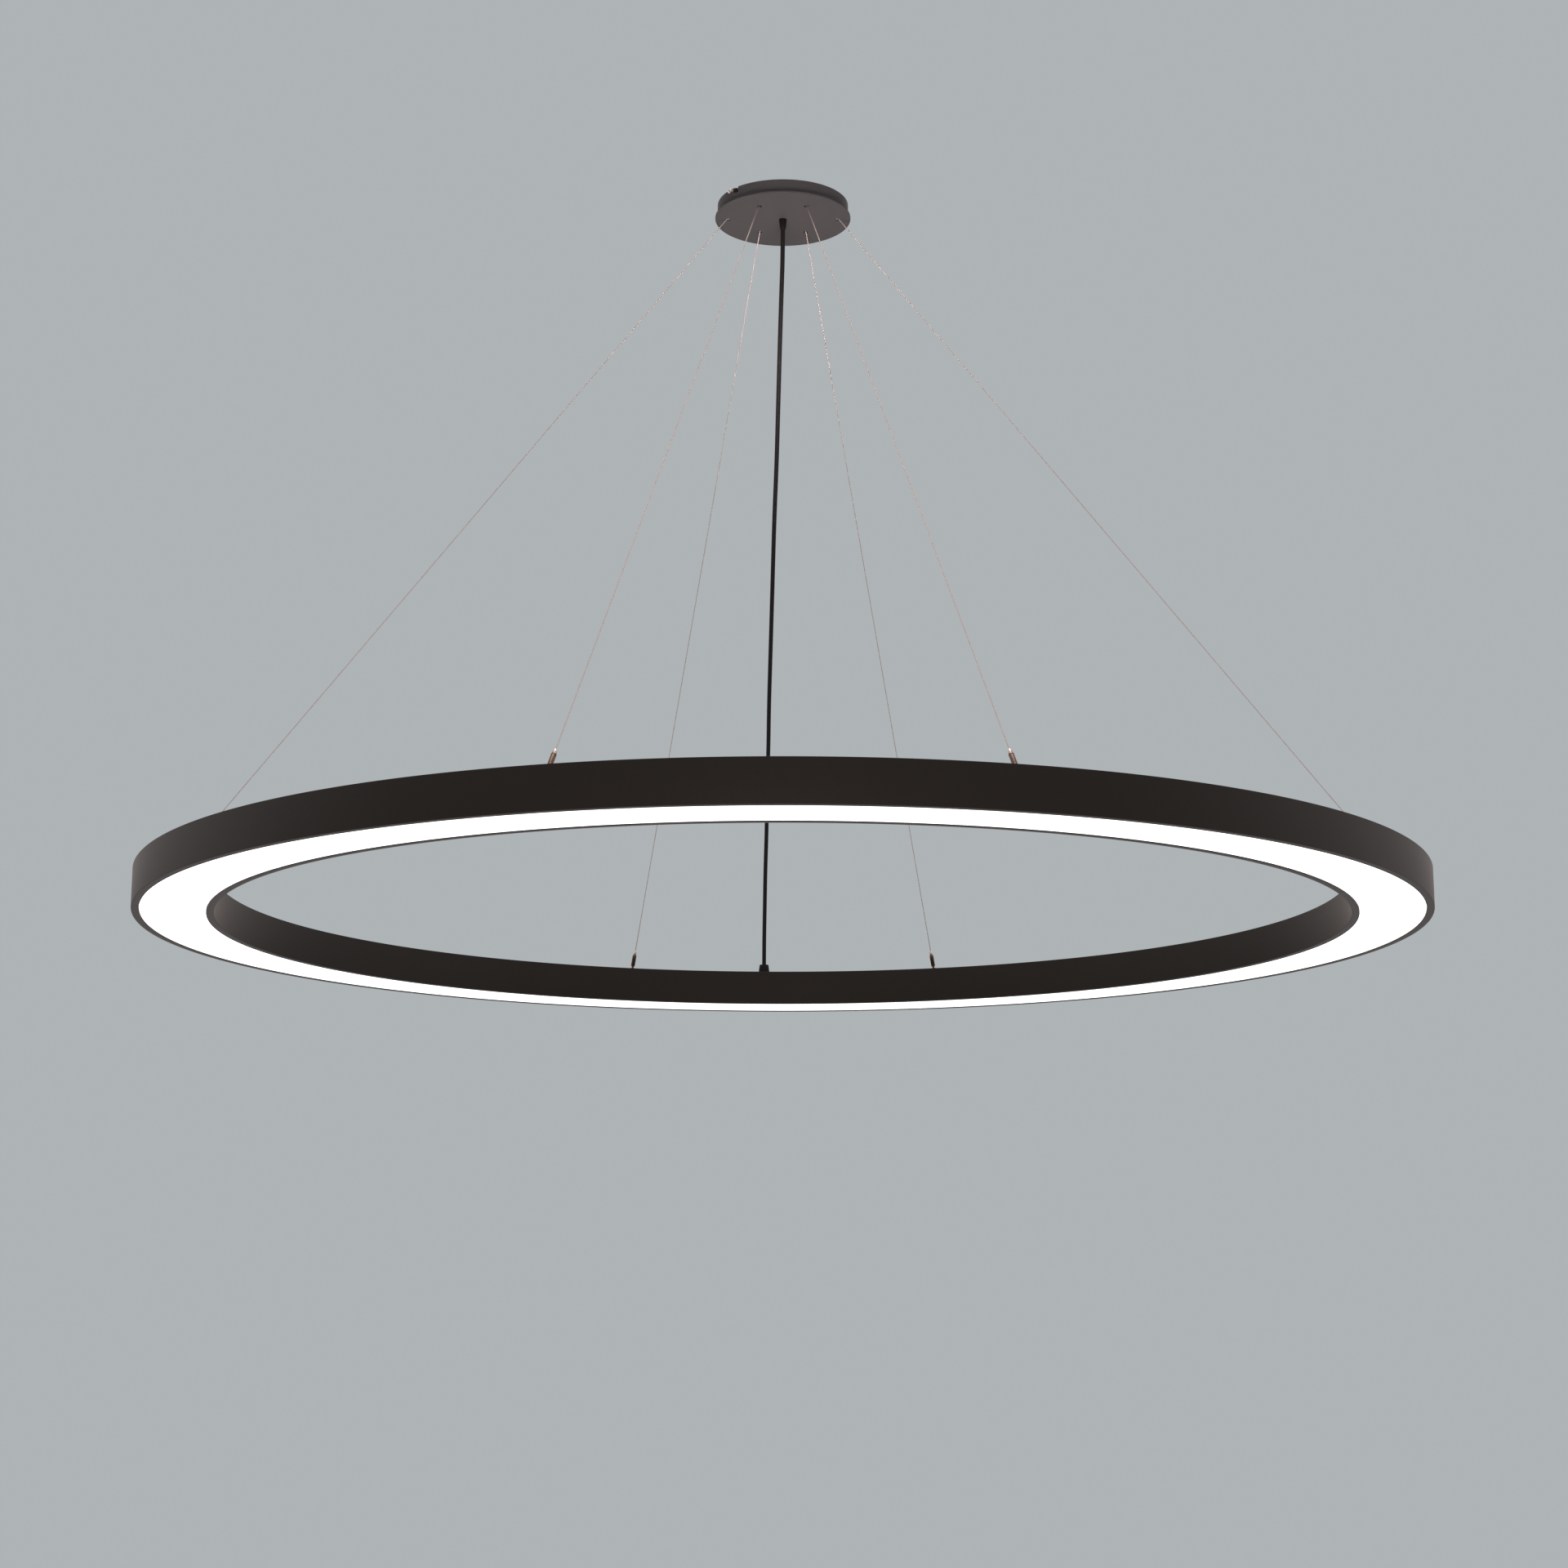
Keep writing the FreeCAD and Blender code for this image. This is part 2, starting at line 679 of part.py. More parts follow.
def eye_plate(eye_r, thickness, reach):
    """Upright plate across Y with a rounded end and a pin hole at the origin; it reaches up to a height."""
    near = eye_r * math.tan(math.pi / small_sides)
    half = [(near, -eye_r), (eye_r, -near), (eye_r, reach)]
    outline = half + [(-x, z) for x, z in reversed(half)]
    points = [Vector(x, -thickness / 2, z) for x, z in outline]
    plate = Part.Face(Part.makePolygon(points + points[:1])).extrude(Vector(0, thickness, 0))
    return plate.cut(crosswise(bore(pivot_pin_r + thread_clearance, -thickness, thickness)))


def crosswise(shape):
    """Copy of a shape built along +Z, laid along Y."""
    copy = shape.copy()
    copy.Placement = Placement(Vector(0, 0, 0), Rotation(Vector(1, 0, 0), 90)).multiply(copy.Placement)
    return copy


def gripper_nozzle():
    """Stem that slides in the body's bore, and a wider head to press."""
    stem = peg(nozzle_stem_r, nozzle_stem_start, nozzle_head_start)
    head = peg(nozzle_head_r, nozzle_head_start, nozzle_end, sides=shown_sides)
    return stem.fuse(head).cut(bore(wire_bore_r, nozzle_stem_start - 1, nozzle_end + 1))


def gripper_springs():
    """Each return spring as a plain sleeve of its outer and inner size."""
    sleeve = peg(spring_r, gripper_bore_start, nozzle_stem_start)
    sleeve = sleeve.cut(bore(spring_bore_r, gripper_bore_start - 1, nozzle_stem_start + 1))
    return Part.makeCompound([on_wire(sleeve, s) for s in suspensions()])


def anchor_seats():
    """Forked seats that the grippers pivot in, one on the roof for each wire."""
    base_top = anchor_base_height - pivot_height
    base = hexagon(anchor_base_across, -pivot_height, base_top)
    ear = eye_plate(ear_r, ear_thickness, -base_top)
    ear.rotate(Vector(0, 0, 0), Vector(0, 1, 0), 180)
    offset = (ear_gap + ear_thickness) / 2
    ears = [ear.translated(Vector(0, side * offset, 0)) for side in (-1, 1)]
    seat = base.fuse(ears).removeSplitter()
    return Part.makeCompound([at_pivot(seat, s) for s in suspensions()])


def anchor_pins():
    half = ear_gap / 2 + ear_thickness
    pin = crosswise(peg(pivot_pin_r, -half, half))
    return Part.makeCompound([at_pivot(pin, s) for s in suspensions()])


def anchor_nuts():
    """Nuts under the roof, which hold the seats."""
    top = roof_under - pivot_z
    nut = hexagon(anchor_nut_across, top - anchor_nut_height, top)
    return Part.makeCompound([at_pivot(nut, s) for s in suspensions()])


def power_cord():
    solid, length, radii = tube(cord_route, cord_r)
    print("cord length %.0f, bend radii from %.0f to %.0f" % (length, min(radii), max(radii)))
    return solid


# ---- Build ----

def build():
    os.makedirs("parts", exist_ok=True)
    single = [
        ceiling_plate, canopy_cup, canopy_face, face_nuts, hanger_plate, hanger_pillars, hanger_screws,
        canopy_terminal_block, earth_screw, cord_grip, grip_nut, canopy_leads, wire_stops,
        anchor_seats, anchor_pins, anchor_nuts, gripper_springs, ring_housing, diffuser,
        led_tray, tray_pillars, tray_screws, led_boards, led_chips, ring_terminal_block, ring_leads,
        cord_gland, gland_nut, power_cord,
    ]
    for make in single:
        export(make.__name__, make())
    for i, azimuth in enumerate(lock_azimuths, 1):
        export("lock_screw_%d" % i, lock_screw(azimuth))
    for i, azimuth in enumerate(driver_azimuths, 1):
        export("driver_%d" % i, driver(azimuth))
    body, nozzle = gripper_body(), gripper_nozzle()
    for i, suspension in enumerate(suspensions(), 1):
        export("wire_%d" % i, wire(suspension))
        export("gripper_body_%d" % i, on_wire(body, suspension))
        export("gripper_nozzle_%d" % i, on_wire(nozzle, suspension))


build()
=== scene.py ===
"""A ring chandelier: a glowing ring on six slanting wires under a small round canopy."""

import math

import bmesh
import bpy
from bpy.props import FloatProperty, FloatVectorProperty, IntProperty, PointerProperty
from mathutils import Matrix, Vector


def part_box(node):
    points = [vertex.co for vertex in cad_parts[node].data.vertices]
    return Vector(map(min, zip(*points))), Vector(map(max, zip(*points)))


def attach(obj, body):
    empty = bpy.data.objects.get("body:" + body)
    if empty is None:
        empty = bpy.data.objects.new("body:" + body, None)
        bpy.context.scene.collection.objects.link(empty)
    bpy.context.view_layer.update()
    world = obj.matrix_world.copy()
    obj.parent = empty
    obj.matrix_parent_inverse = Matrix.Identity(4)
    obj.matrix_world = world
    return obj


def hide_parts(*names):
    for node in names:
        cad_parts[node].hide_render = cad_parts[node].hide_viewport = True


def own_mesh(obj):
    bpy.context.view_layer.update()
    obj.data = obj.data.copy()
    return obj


bl_info = {
    "name": "Ring Chandelier",
    "version": (1, 0, 0),
    "blender": (4, 5, 0),
    "location": "View3D > Sidebar > Lamp",
    "description": "Builds the looks of a ring chandelier around its packed model",
    "category": "Object",
}

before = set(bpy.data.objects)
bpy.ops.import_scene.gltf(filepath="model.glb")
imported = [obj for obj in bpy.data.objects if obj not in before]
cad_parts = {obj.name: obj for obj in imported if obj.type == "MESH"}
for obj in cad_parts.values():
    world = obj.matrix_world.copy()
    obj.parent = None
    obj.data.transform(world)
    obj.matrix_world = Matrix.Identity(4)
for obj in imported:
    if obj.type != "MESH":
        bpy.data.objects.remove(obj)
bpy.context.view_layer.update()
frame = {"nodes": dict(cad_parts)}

MM = 0.001
UP = Vector((0, 0, 1))
RING_LOW, RING_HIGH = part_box("ring_housing")
FACE_LOW, FACE_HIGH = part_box("canopy_face")

# The cord's route, as the part's source has it
CORD_ROUTE = [
    (0, 0, -0.009), (0, 0, -0.062), (-0.002, 0.014, -0.116), (-0.004, 0.045, -0.174),
    (-0.006, 0.091, -0.232), (-0.008, 0.144, -0.288), (-0.011, 0.200, -0.341), (-0.013, 0.258, -0.392),
    (-0.015, 0.318, -0.441), (-0.017, 0.379, -0.488), (-0.019, 0.440, -0.534), (-0.020, 0.501, -0.579),
    (-0.022, 0.560, -0.625), (-0.023, 0.614, -0.672), (-0.025, 0.656, -0.721), (-0.026, 0.687, -0.771),
    (-0.027, 0.70348, -0.824), (-0.027, 0.70348, -0.877),
]
GLAND_PLACE = Vector((-0.027, 0.70348, 0))

# Each wire's route: inside its gripper, close to its bend, the bend, and its stop on the plate in the canopy
FRONT_WIRE = [(0.22096, -0.65983, -0.8505), (0.02955, -0.04282, -0.01911),
              (0.02792, -0.03755, -0.012), (0.02792, -0.03755, -0.0075)]
SIDE_WIRE = [(0.68277, -0.13502, -0.85038), (0.07087, -0.00019, -0.01919),
             (0.06558, 0.00097, -0.012), (0.06558, 0.00097, -0.0075)]
BACK_WIRE = [(0.21058, 0.66321, -0.8505), (0.02954, 0.04283, -0.01911),
             (0.02799, 0.03752, -0.012), (0.02799, 0.03752, -0.0075)]
WIRE_EXITS = [(-0.0293, -0.042), (-0.070, 0), (-0.0293, 0.042),
              (0.0293, 0.042), (0.070, 0), (0.0293, -0.042)]
WIRE_START = 13.3 * MM          # from the gripper's pivot to the wire's end in it
WIRE_LENGTHS = [1.0664, 1.0544, 1.0665, 1.0665, 1.0544, 1.0664]


def mirrored(route):
    return [(-x, y, z) for x, y, z in route]


WIRE_ROUTES = [mirrored(FRONT_WIRE), mirrored(SIDE_WIRE), mirrored(BACK_WIRE),
               BACK_WIRE, SIDE_WIRE, FRONT_WIRE]


# ---- Sizes and colours that a user may change ----

def length(name, description, default):
    return FloatProperty(name=name, description=description, default=default,
                         unit="LENGTH", subtype="DISTANCE")


def colour(name, description, default):
    return FloatVectorProperty(name=name, description=description, default=default,
                               subtype="COLOR", size=3, min=0.0, max=1.0)


class RingSizes(bpy.types.PropertyGroup):
    """Section of the ring and of the opal in it"""
    outer_radius: length("Outer radius", "Outside of the ring's housing", RING_HIGH.x)
    inner_radius: length("Inner radius", "Inside of the ring's housing", 0.658)
    wall: length("Wall", "Thickness of the housing's walls and roof", 2 * MM)
    lip_width: length("Lip width", "Width of each lip beside the opal", 9 * MM)
    lip_thickness: length("Lip thickness", "Thickness of each lip", 2 * MM)
    edge_radius: length("Edge radius", "Rounding of the housing's outer edges", 0.6 * MM)
    opal_recess: length("Opal recess", "How far the opal's face stands back from the lips", 0.5 * MM)
    opal_gap: length("Opal gap", "Play between the opal and each lip", 0.3 * MM)
    steps: IntProperty(name="Steps", description="Straight steps round the ring", default=480, min=48)


class CanopySizes(bpy.types.PropertyGroup):
    """Cup, face and side screws at the ceiling"""
    cup_radius: length("Cup radius", "Outside of the cup", 81 * MM)
    cup_wall: length("Cup wall", "Thickness of the cup's sheet", 1.2 * MM)
    face_radius: length("Face radius", "The disc under the cup", FACE_HIGH.x)
    wire_hole_radius: length("Wire hole radius", "Holes that the wires leave through", 3 * MM)
    screw_height: length("Screw height", "Height of the side screws from the ceiling", -4.4 * MM)
    screw_head_radius: length("Screw head radius", "Heads of the side screws", 3 * MM)
    screw_head_length: length("Screw head length", "Length of the side screws' heads", 5.2 * MM)
    slot_width: length("Slot width", "Open leg of each angled slot", 6 * MM)
    slot_depth: length("Slot depth", "Open leg of each angled slot, from the cup's rim", 7.2 * MM)
    slot_offset: length("Slot offset", "From a side screw to the middle of the open leg", 7.5 * MM)


class SuspensionSizes(bpy.types.PropertyGroup):
    """Wires and the grippers that hold them"""
    wire_diameter: length("Wire diameter", "Across the wire's strands", 1.2 * MM)
    strands: IntProperty(name="Strands", description="Outer strands of a wire", default=6, min=3)
    strand_pitch: length("Strand pitch", "Length of one turn of a strand", 9 * MM)
    gripper_radius: length("Gripper radius", "Body of a gripper", 2.75 * MM)
    gripper_start: length("Gripper start", "From the pivot along the wire", 4.5 * MM)
    gripper_end: length("Gripper end", "From the pivot along the wire", 23 * MM)
    bore_start: length("Bore start", "Bottom of the body's bore, where the return spring stands", 13 * MM)
    nozzle_start: length("Nozzle start", "Stem of the release nozzle, inside the body", 17 * MM)
    nozzle_head: length("Nozzle head", "Where the nozzle's head starts", 25.3 * MM)
    nozzle_length: length("Nozzle length", "Length of the nozzle's head", 4.4 * MM)


class CordSizes(bpy.types.PropertyGroup):
    """Mains cord and its glands"""
    diameter: length("Diameter", "Across the mains cord", 5.6 * MM)
    grip_length: length("Grip length", "Strain relief under the canopy", 13 * MM)
    gland_height: length("Gland height", "Gland on the ring", 16 * MM)


class Colours(bpy.types.PropertyGroup):
    """Colours of the finishes and of the studio"""
    coat: colour("Powder coat", "Ring's housing", (0.0235, 0.0188, 0.0168))
    # Painted light: the canopy's coat is the ring's powder coat made more than twice as light, standing in
    # for the stronger light on the canopy
    canopy_coat: colour("Canopy coat", "Cup and face at the ceiling", (0.056, 0.0485, 0.0505))
    opal: colour("Opal light", "Light from the opal", (1.0, 0.985, 0.96))
    bronze: colour("Bronze", "Bodies of the grippers", (0.20, 0.118, 0.078))
    nozzle: colour("Nozzle", "Release nozzles", (0.90, 0.74, 0.67))
    wire: colour("Wire", "Steel wires", (0.66, 0.53, 0.48))
    screw: colour("Screw", "Side screws, return springs and pins", (0.86, 0.73, 0.67))
    rubber: colour("Rubber", "Mains cord", (0.0105, 0.0078, 0.0078))
    gland: colour("Gland", "Strain relief and gland of the cord", (0.006, 0.0044, 0.0042))
    zinc: colour("Zinc", "Hanger plate, light tray and fixings", (0.58, 0.59, 0.60))
    # Painted shade: the mounting plate is zinc darkened near to black, so that the cup's slots show dark as
    # the shade inside the canopy would
    slot_shade_zinc: colour("Zinc darkened for slot shade", "Mounting plate at the ceiling", (0.045, 0.044, 0.046))
    backdrop: colour("Backdrop", "Wall and floor of the studio", (0.425, 0.452, 0.470))


class LampSettings(bpy.types.PropertyGroup):
    """All sizes and colours of the ring chandelier"""
    ring: PointerProperty(type=RingSizes)
    canopy: PointerProperty(type=CanopySizes)
    suspension: PointerProperty(type=SuspensionSizes)
    cord: PointerProperty(type=CordSizes)
    colours: PointerProperty(type=Colours)


# ---- Finishes ----

class Value:
    """A shader socket that plain expressions can reckon with."""

    def __init__(self, nodes, socket):
        self.nodes, self.socket = nodes, socket

    def _maths(self, operation, other):
        return self.nodes.add("ShaderNodeMath", {"operation": operation}, {0: self, 1: other})

    def __add__(self, other):
        return self._maths("ADD", other)

    def __mul__(self, other):
        return self._maths("MULTIPLY", other)

    __radd__ = __add__


class Nodes:
    """A node tree under construction."""

    def __init__(self, tree):
        self.tree = tree

    def add(self, kind, setup=None, values=None, output=0):
        """One node: its settings first, then the values or links of its sockets."""
        node = self.tree.nodes.new(kind)
        for key, value in (setup or {}).items():
            if key == "stops":
                self._set_stops(node.color_ramp, value)
            else:
                setattr(node, key, value)
        for key, value in (values or {}).items():
            self._feed(node.inputs[key], value)
        return Value(self, node.outputs[output])

    def _feed(self, socket, value):
        if isinstance(value, Value):
            self.tree.links.new(value.socket, socket)
        elif socket.type == "RGBA" and len(value) == 3:
            socket.default_value = (*value, 1.0)
        else:
            socket.default_value = value

    @staticmethod
    def _set_stops(ramp, stops):
        while len(ramp.elements) < len(stops):
            ramp.elements.new(0.5)
        for element, (place, shade) in zip(ramp.elements, stops):
            element.position, element.color = place, (*shade, 1.0)

    def seen(self):
        """1 for what the camera, metal and glass look at, 0 for what only lights the rest."""
        path = self.tree.nodes.new("ShaderNodeLightPath")
        camera, glossy, through = [Value(self, path.outputs["Is %s Ray" % ray])
                                   for ray in ("Camera", "Glossy", "Transmission")]
        return camera + glossy + through

    def show(self, shown, output):
        self.tree.links.new(shown.socket, self.tree.nodes[output].inputs["Surface"])


class Finish(Nodes):
    """A material under construction, its Principled shader first."""

    def __init__(self, name, slot):
        self.slot = slot
        self.material = bpy.data.materials.new(name)
        self.material.use_nodes = True
        super().__init__(self.material.node_tree)
        self.shader = self.tree.nodes["Principled BSDF"]

    def surface(self, **values):
        for name, value in values.items():
            self._feed(self.shader.inputs[name.replace("_", " ").title().replace("Ior", "IOR")], value)

    def place(self):
        return self.add("ShaderNodeTexCoord", output=3)

    def noise(self, scale, detail):
        return self.add("ShaderNodeTexNoise", None, {
            "Vector": self.place(), "Scale": scale, "Detail": detail, "Roughness": 0.55})

    def shades(self, factor, *stops):
        return self.add("ShaderNodeValToRGB", {"stops": stops}, {"Fac": factor})

    def mix(self, factor, first, second):
        return self.add("ShaderNodeMix", {"data_type": "RGBA"}, {0: factor, 6: first, 7: second}, output=2)

    def bump(self, height, strength, distance):
        return self.add("ShaderNodeBump", None, {
            "Strength": strength, "Distance": distance, "Height": height})

    def give(self, *pieces):
        """Puts this finish on pieces."""
        for piece in pieces:
            piece.data.materials.clear()
            piece.data.materials.append(self.material)


def tinted(shade, factor):
    return tuple(min(1.0, channel * factor) for channel in shade)


def powder_coat(name, slot, shade, bloom):
    """Fine-textured dark powder coat: a pebbled skin, faintly cloudy, that pales where it is seen edge-on."""
    finish = Finish(name, slot)
    pebbles = finish.noise(1500.0, 2.0)
    specks = finish.noise(5200.0, 1.0)
    clouds = finish.noise(9.0, 3.0)
    base = finish.mix(clouds, tinted(shade, 0.90), tinted(shade, 1.10))
    base = finish.mix(finish.shades(specks, (0.50, (0, 0, 0)), (0.80, (1, 1, 1))), base, tinted(shade, 1.7))
    finish.surface(base_color=base, roughness=0.42 + pebbles * 0.12, specular_ior_level=0.08,
                   specular_tint=(1.0, 0.86, 0.80), sheen_weight=bloom, sheen_roughness=0.35,
                   sheen_tint=(1.0, 0.84, 0.78), normal=finish.bump(pebbles + specks * 0.4, 0.12, 0.0003))
    return finish


def opal_light(light):
    """Lit opal: an even glow with the faintest clouds."""
    finish = Finish("opal_light", "opal")
    clouds = finish.noise(3.0, 2.0)
    finish.surface(base_color=(0.92, 0.92, 0.90), roughness=0.45 + clouds * 0.05,
                   emission_color=finish.mix(clouds, light, tinted(light, 0.97)), emission_strength=1.6)
    return finish


def turned_metal(name, slot, shade, roughness, metallic=1.0):
    """Turned metal: fine marks left by the tool, and a light tarnish."""
    finish = Finish(name, slot)
    tarnish = finish.noise(420.0, 4.0)
    tooling = finish.noise(7000.0, 2.0)
    finish.surface(base_color=finish.mix(tarnish, tinted(shade, 0.86), tinted(shade, 1.06)),
                   metallic=metallic, roughness=roughness + tarnish * 0.08,
                   normal=finish.bump(tooling, 0.12, 0.00004))
    return finish


def black_rubber(name, slot, shade, roughness):
    """Dull black rubber or nylon with a fine grain and a little dust."""
    finish = Finish(name, slot)
    grain = finish.noise(2600.0, 2.0)
    dust = finish.noise(55.0, 4.0)
    finish.surface(base_color=finish.mix(dust, shade, tinted(shade, 1.6)), roughness=roughness + dust * 0.12,
                   specular_ior_level=0.15, normal=finish.bump(grain, 0.14, 0.00012))
    return finish


def zinc_plate(name, slot, shade):
    """Zinc-plated sheet with its faint crystals."""
    finish = Finish(name, slot)
    crystals = finish.add("ShaderNodeTexVoronoi", None, {"Vector": finish.place(), "Scale": 190.0}, output=1)
    spangle = finish.add("ShaderNodeSeparateColor", None, {"Color": crystals})
    haze = finish.noise(60.0, 4.0)
    finish.surface(base_color=finish.mix(spangle, tinted(shade, 0.84), tinted(shade, 1.08)), metallic=1.0,
                   roughness=0.34 + haze * 0.16 + spangle * 0.06)
    return finish


def moulded(name, slot, shade, roughness=0.5):
    """Plain moulded plastic or lacquer, with a fine skin and a little unevenness."""
    finish = Finish(name, slot)
    skin = finish.noise(1800.0, 2.0)
    patches = finish.noise(38.0, 3.0)
    finish.surface(base_color=finish.mix(patches, tinted(shade, 0.92), tinted(shade, 1.05)),
                   roughness=roughness + patches * 0.08, normal=finish.bump(skin, 0.12, 0.0001))
    return finish


# ---- Mesh helpers ----

def linked(name, data):
    """A new object in the scene."""
    piece = bpy.data.objects.new(name, data)
    bpy.context.scene.collection.objects.link(piece)
    return piece


def evaluated(piece):
    """A new mesh of a curve, or of a piece with its modifiers applied."""
    bpy.context.view_layer.update()
    return bpy.data.meshes.new_from_object(piece.evaluated_get(bpy.context.evaluated_depsgraph_get()))


def rounded(outline, radii, steps=3):
    """A closed outline whose corners are rounded, each by its own radius; 0 leaves a corner sharp."""
    points = [Vector(p) for p in outline]
    result = []
    for i, (corner, radius) in enumerate(zip(points, radii)):
        if not radius:
            result.append(corner)
            continue
        back = (points[i - 1] - corner).normalized()
        on = (points[(i + 1) % len(points)] - corner).normalized()
        half = back.angle(on) / 2
        tangent = radius / math.tan(half)
        centre = corner + (back + on).normalized() * (radius / math.sin(half))
        first, last = corner + back * tangent, corner + on * tangent
        for step in range(steps + 1):
            spoke = (first - centre).lerp(last - centre, step / steps).normalized()
            result.append(centre + spoke * radius)
    return result


def turned(name, outline, steps):
    """A solid of revolution about Z of a closed outline of (radius, height) points."""
    mesh = bmesh.new()
    rings = []
    for step in range(steps):
        angle = 2 * math.pi * step / steps
        c, s = math.cos(angle), math.sin(angle)
        rings.append([mesh.verts.new((p[0] * c, p[0] * s, p[1])) for p in outline])
    count = len(outline)
    for step, ring in enumerate(rings):
        after = rings[(step + 1) % steps]
        for i in range(count):
            j = (i + 1) % count
            mesh.faces.new((ring[i], ring[j], after[j], after[i]))
    bmesh.ops.remove_doubles(mesh, verts=mesh.verts, dist=1e-7)
    bmesh.ops.dissolve_degenerate(mesh, dist=1e-7, edges=mesh.edges)
    return finished(name, mesh)


def finished(name, mesh, sharp=38.0):
    """Closes a bmesh into an object, smooth but for its sharp edges."""
    bmesh.ops.recalc_face_normals(mesh, faces=mesh.faces)
    data = bpy.data.meshes.new(name)
    mesh.to_mesh(data)
    mesh.free()
    data.shade_smooth()
    data.set_sharp_from_angle(angle=math.radians(sharp))
    return linked(name, data)


def tube(name, mesh, rings, sharp):
    """Skins a row of rings, closes both ends and finishes the mesh."""
    count = len(rings[0])
    for ring, after in zip(rings, rings[1:]):
        for k in range(count):
            mesh.faces.new((ring[k], ring[(k + 1) % count], after[(k + 1) % count], after[k]))
    mesh.faces.new(list(reversed(rings[0])))
    mesh.faces.new(rings[-1])
    return finished(name, mesh, sharp)


def plate(name, outline, holes, low, high, edge):
    """A flat plate with holes and rounded edges, from a filled flat curve."""
    curve = bpy.data.curves.new(name, "CURVE")
    curve.dimensions, curve.fill_mode = "2D", "BOTH"
    curve.extrude = (high - low) / 2 - edge
    curve.bevel_depth, curve.bevel_resolution, curve.offset = edge, 2, -edge
    for points in [outline] + [list(reversed(hole)) for hole in holes]:
        spline = curve.splines.new("POLY")
        spline.points.add(len(points) - 1)
        for point, (x, y) in zip(spline.points, points):
            point.co = (x, y, 0, 1)
        spline.use_cyclic_u = True
    drawn = linked(name, curve)
    data = evaluated(drawn)
    bpy.data.objects.remove(drawn)
    mesh = bmesh.new()
    mesh.from_mesh(data)
    bmesh.ops.remove_doubles(mesh, verts=mesh.verts, dist=1e-6)
    bmesh.ops.translate(mesh, verts=mesh.verts, vec=(0, 0, (low + high) / 2))
    piece = finished(name, mesh)
    for side in piece.data.polygons:
        side.use_smooth = abs(side.normal.z) < 0.999
    return piece


def circle(radius, steps, x=0.0, y=0.0):
    turns = [2 * math.pi * i / steps for i in range(steps)]
    return [(x + radius * math.cos(turn), y + radius * math.sin(turn)) for turn in turns]


def arc(radius, degrees):
    """Points of a circle about the origin, at the angles given."""
    return [(radius * math.cos(math.radians(a)), radius * math.sin(math.radians(a))) for a in degrees]


def joined(name, pieces):
    """Joins pieces that share a body and a finish into one object."""
    mesh = bmesh.new()
    for piece in pieces:
        piece.data.transform(piece.matrix_world)
        mesh.from_mesh(piece.data)
        bpy.data.objects.remove(piece)
    data = bpy.data.meshes.new(name)
    mesh.to_mesh(data)
    mesh.free()
    return linked(name, data)


def moved(piece, matrix):
    """Moves a piece's mesh, so that its object stays at the origin."""
    piece.data.transform(matrix)
    return piece


def outward(azimuth, height):
    """Turns +Z to point away from the lamp's axis, at a height."""
    return (Matrix.Translation((0, 0, height)) @ Matrix.Rotation(math.radians(azimuth), 4, "Z")
            @ Matrix.Rotation(math.radians(90), 4, "Y"))


def along_wire(route):
    """Puts +Z up a wire from its gripper's pivot, and Y along the pivot's pin."""
    end, near = Vector(route[0]), Vector(route[1])
    along = (near - end).normalized()
    pivot = end - along * WIRE_START
    pin = UP.cross(Vector((-along.x, -along.y, 0)).normalized())
    across = pin.cross(along)
    return Matrix.Translation(pivot) @ Matrix((across, pin, along)).transposed().to_4x4()


def at_anchor(route):
    """Puts the origin at a gripper's pivot, with X away from the canopy and Z up."""
    matrix = along_wire(route)
    pivot = matrix.translation
    pin = matrix.col[1].to_3d()
    return Matrix.Translation(pivot) @ Matrix((pin.cross(UP), pin, UP)).transposed().to_4x4()


def flexible(name, route, diameter):
    """A round cord on one smooth curve through its route."""
    curve = bpy.data.curves.new(name, "CURVE")
    curve.dimensions = "3D"
    spline = curve.splines.new("NURBS")
    spline.points.add(len(route) - 1)
    for point, place in zip(spline.points, route):
        point.co = (*place, 1)
    spline.order_u = 3
    spline.use_endpoint_u = True
    spline.resolution_u = 24
    curve.bevel_depth, curve.bevel_resolution = diameter / 2, 8
    curve.use_fill_caps = True
    return linked(name, curve)


def centreline(route, step):
    """Points about a step apart, read from a route's own smooth curve."""
    bare = flexible("bare", route, 0)
    bare.data.splines[0].resolution_u = 800
    data = bpy.data.meshes.new_from_object(bare)
    points = [v.co.copy() for v in data.vertices]
    bpy.data.objects.remove(bare)
    bpy.data.meshes.remove(data)
    kept = points[:1]
    for point in points[1:-1]:
        if (point - kept[-1]).length >= step:
            kept.append(point)
    return kept + points[-1:]


def twisted(name, points, radius, strands, pitch):
    """A wire of twisted strands along a line of points."""
    hollow = 0.90               # between two strands, as a share of the wire's radius
    mesh = bmesh.new()
    rings, run = [], 0.0
    lobes = 2 * strands
    side = (points[1] - points[0]).normalized().orthogonal().normalized()
    for i, point in enumerate(points):
        ahead = (points[min(i + 1, len(points) - 1)] - points[max(i - 1, 0)]).normalized()
        side = (side - ahead * side.dot(ahead)).normalized()
        other = ahead.cross(side)
        run += (point - points[i - 1]).length if i else 0.0
        turn = 2 * math.pi * run / pitch
        ring = []
        for k in range(lobes):
            angle = turn + 2 * math.pi * k / lobes
            reach = radius if k % 2 == 0 else hollow * radius
            spoke = side * math.cos(angle) + other * math.sin(angle)
            ring.append(mesh.verts.new(point + spoke * reach))
        rings.append(ring)
    return tube(name, mesh, rings, 80.0)


# ---- Operators ----

class PieceOperator:
    """What every operator of this file has in common."""
    bl_options = {"REGISTER", "UNDO"}

    def execute(self, context):
        self.build(context.scene.ring_chandelier)
        return {"FINISHED"}


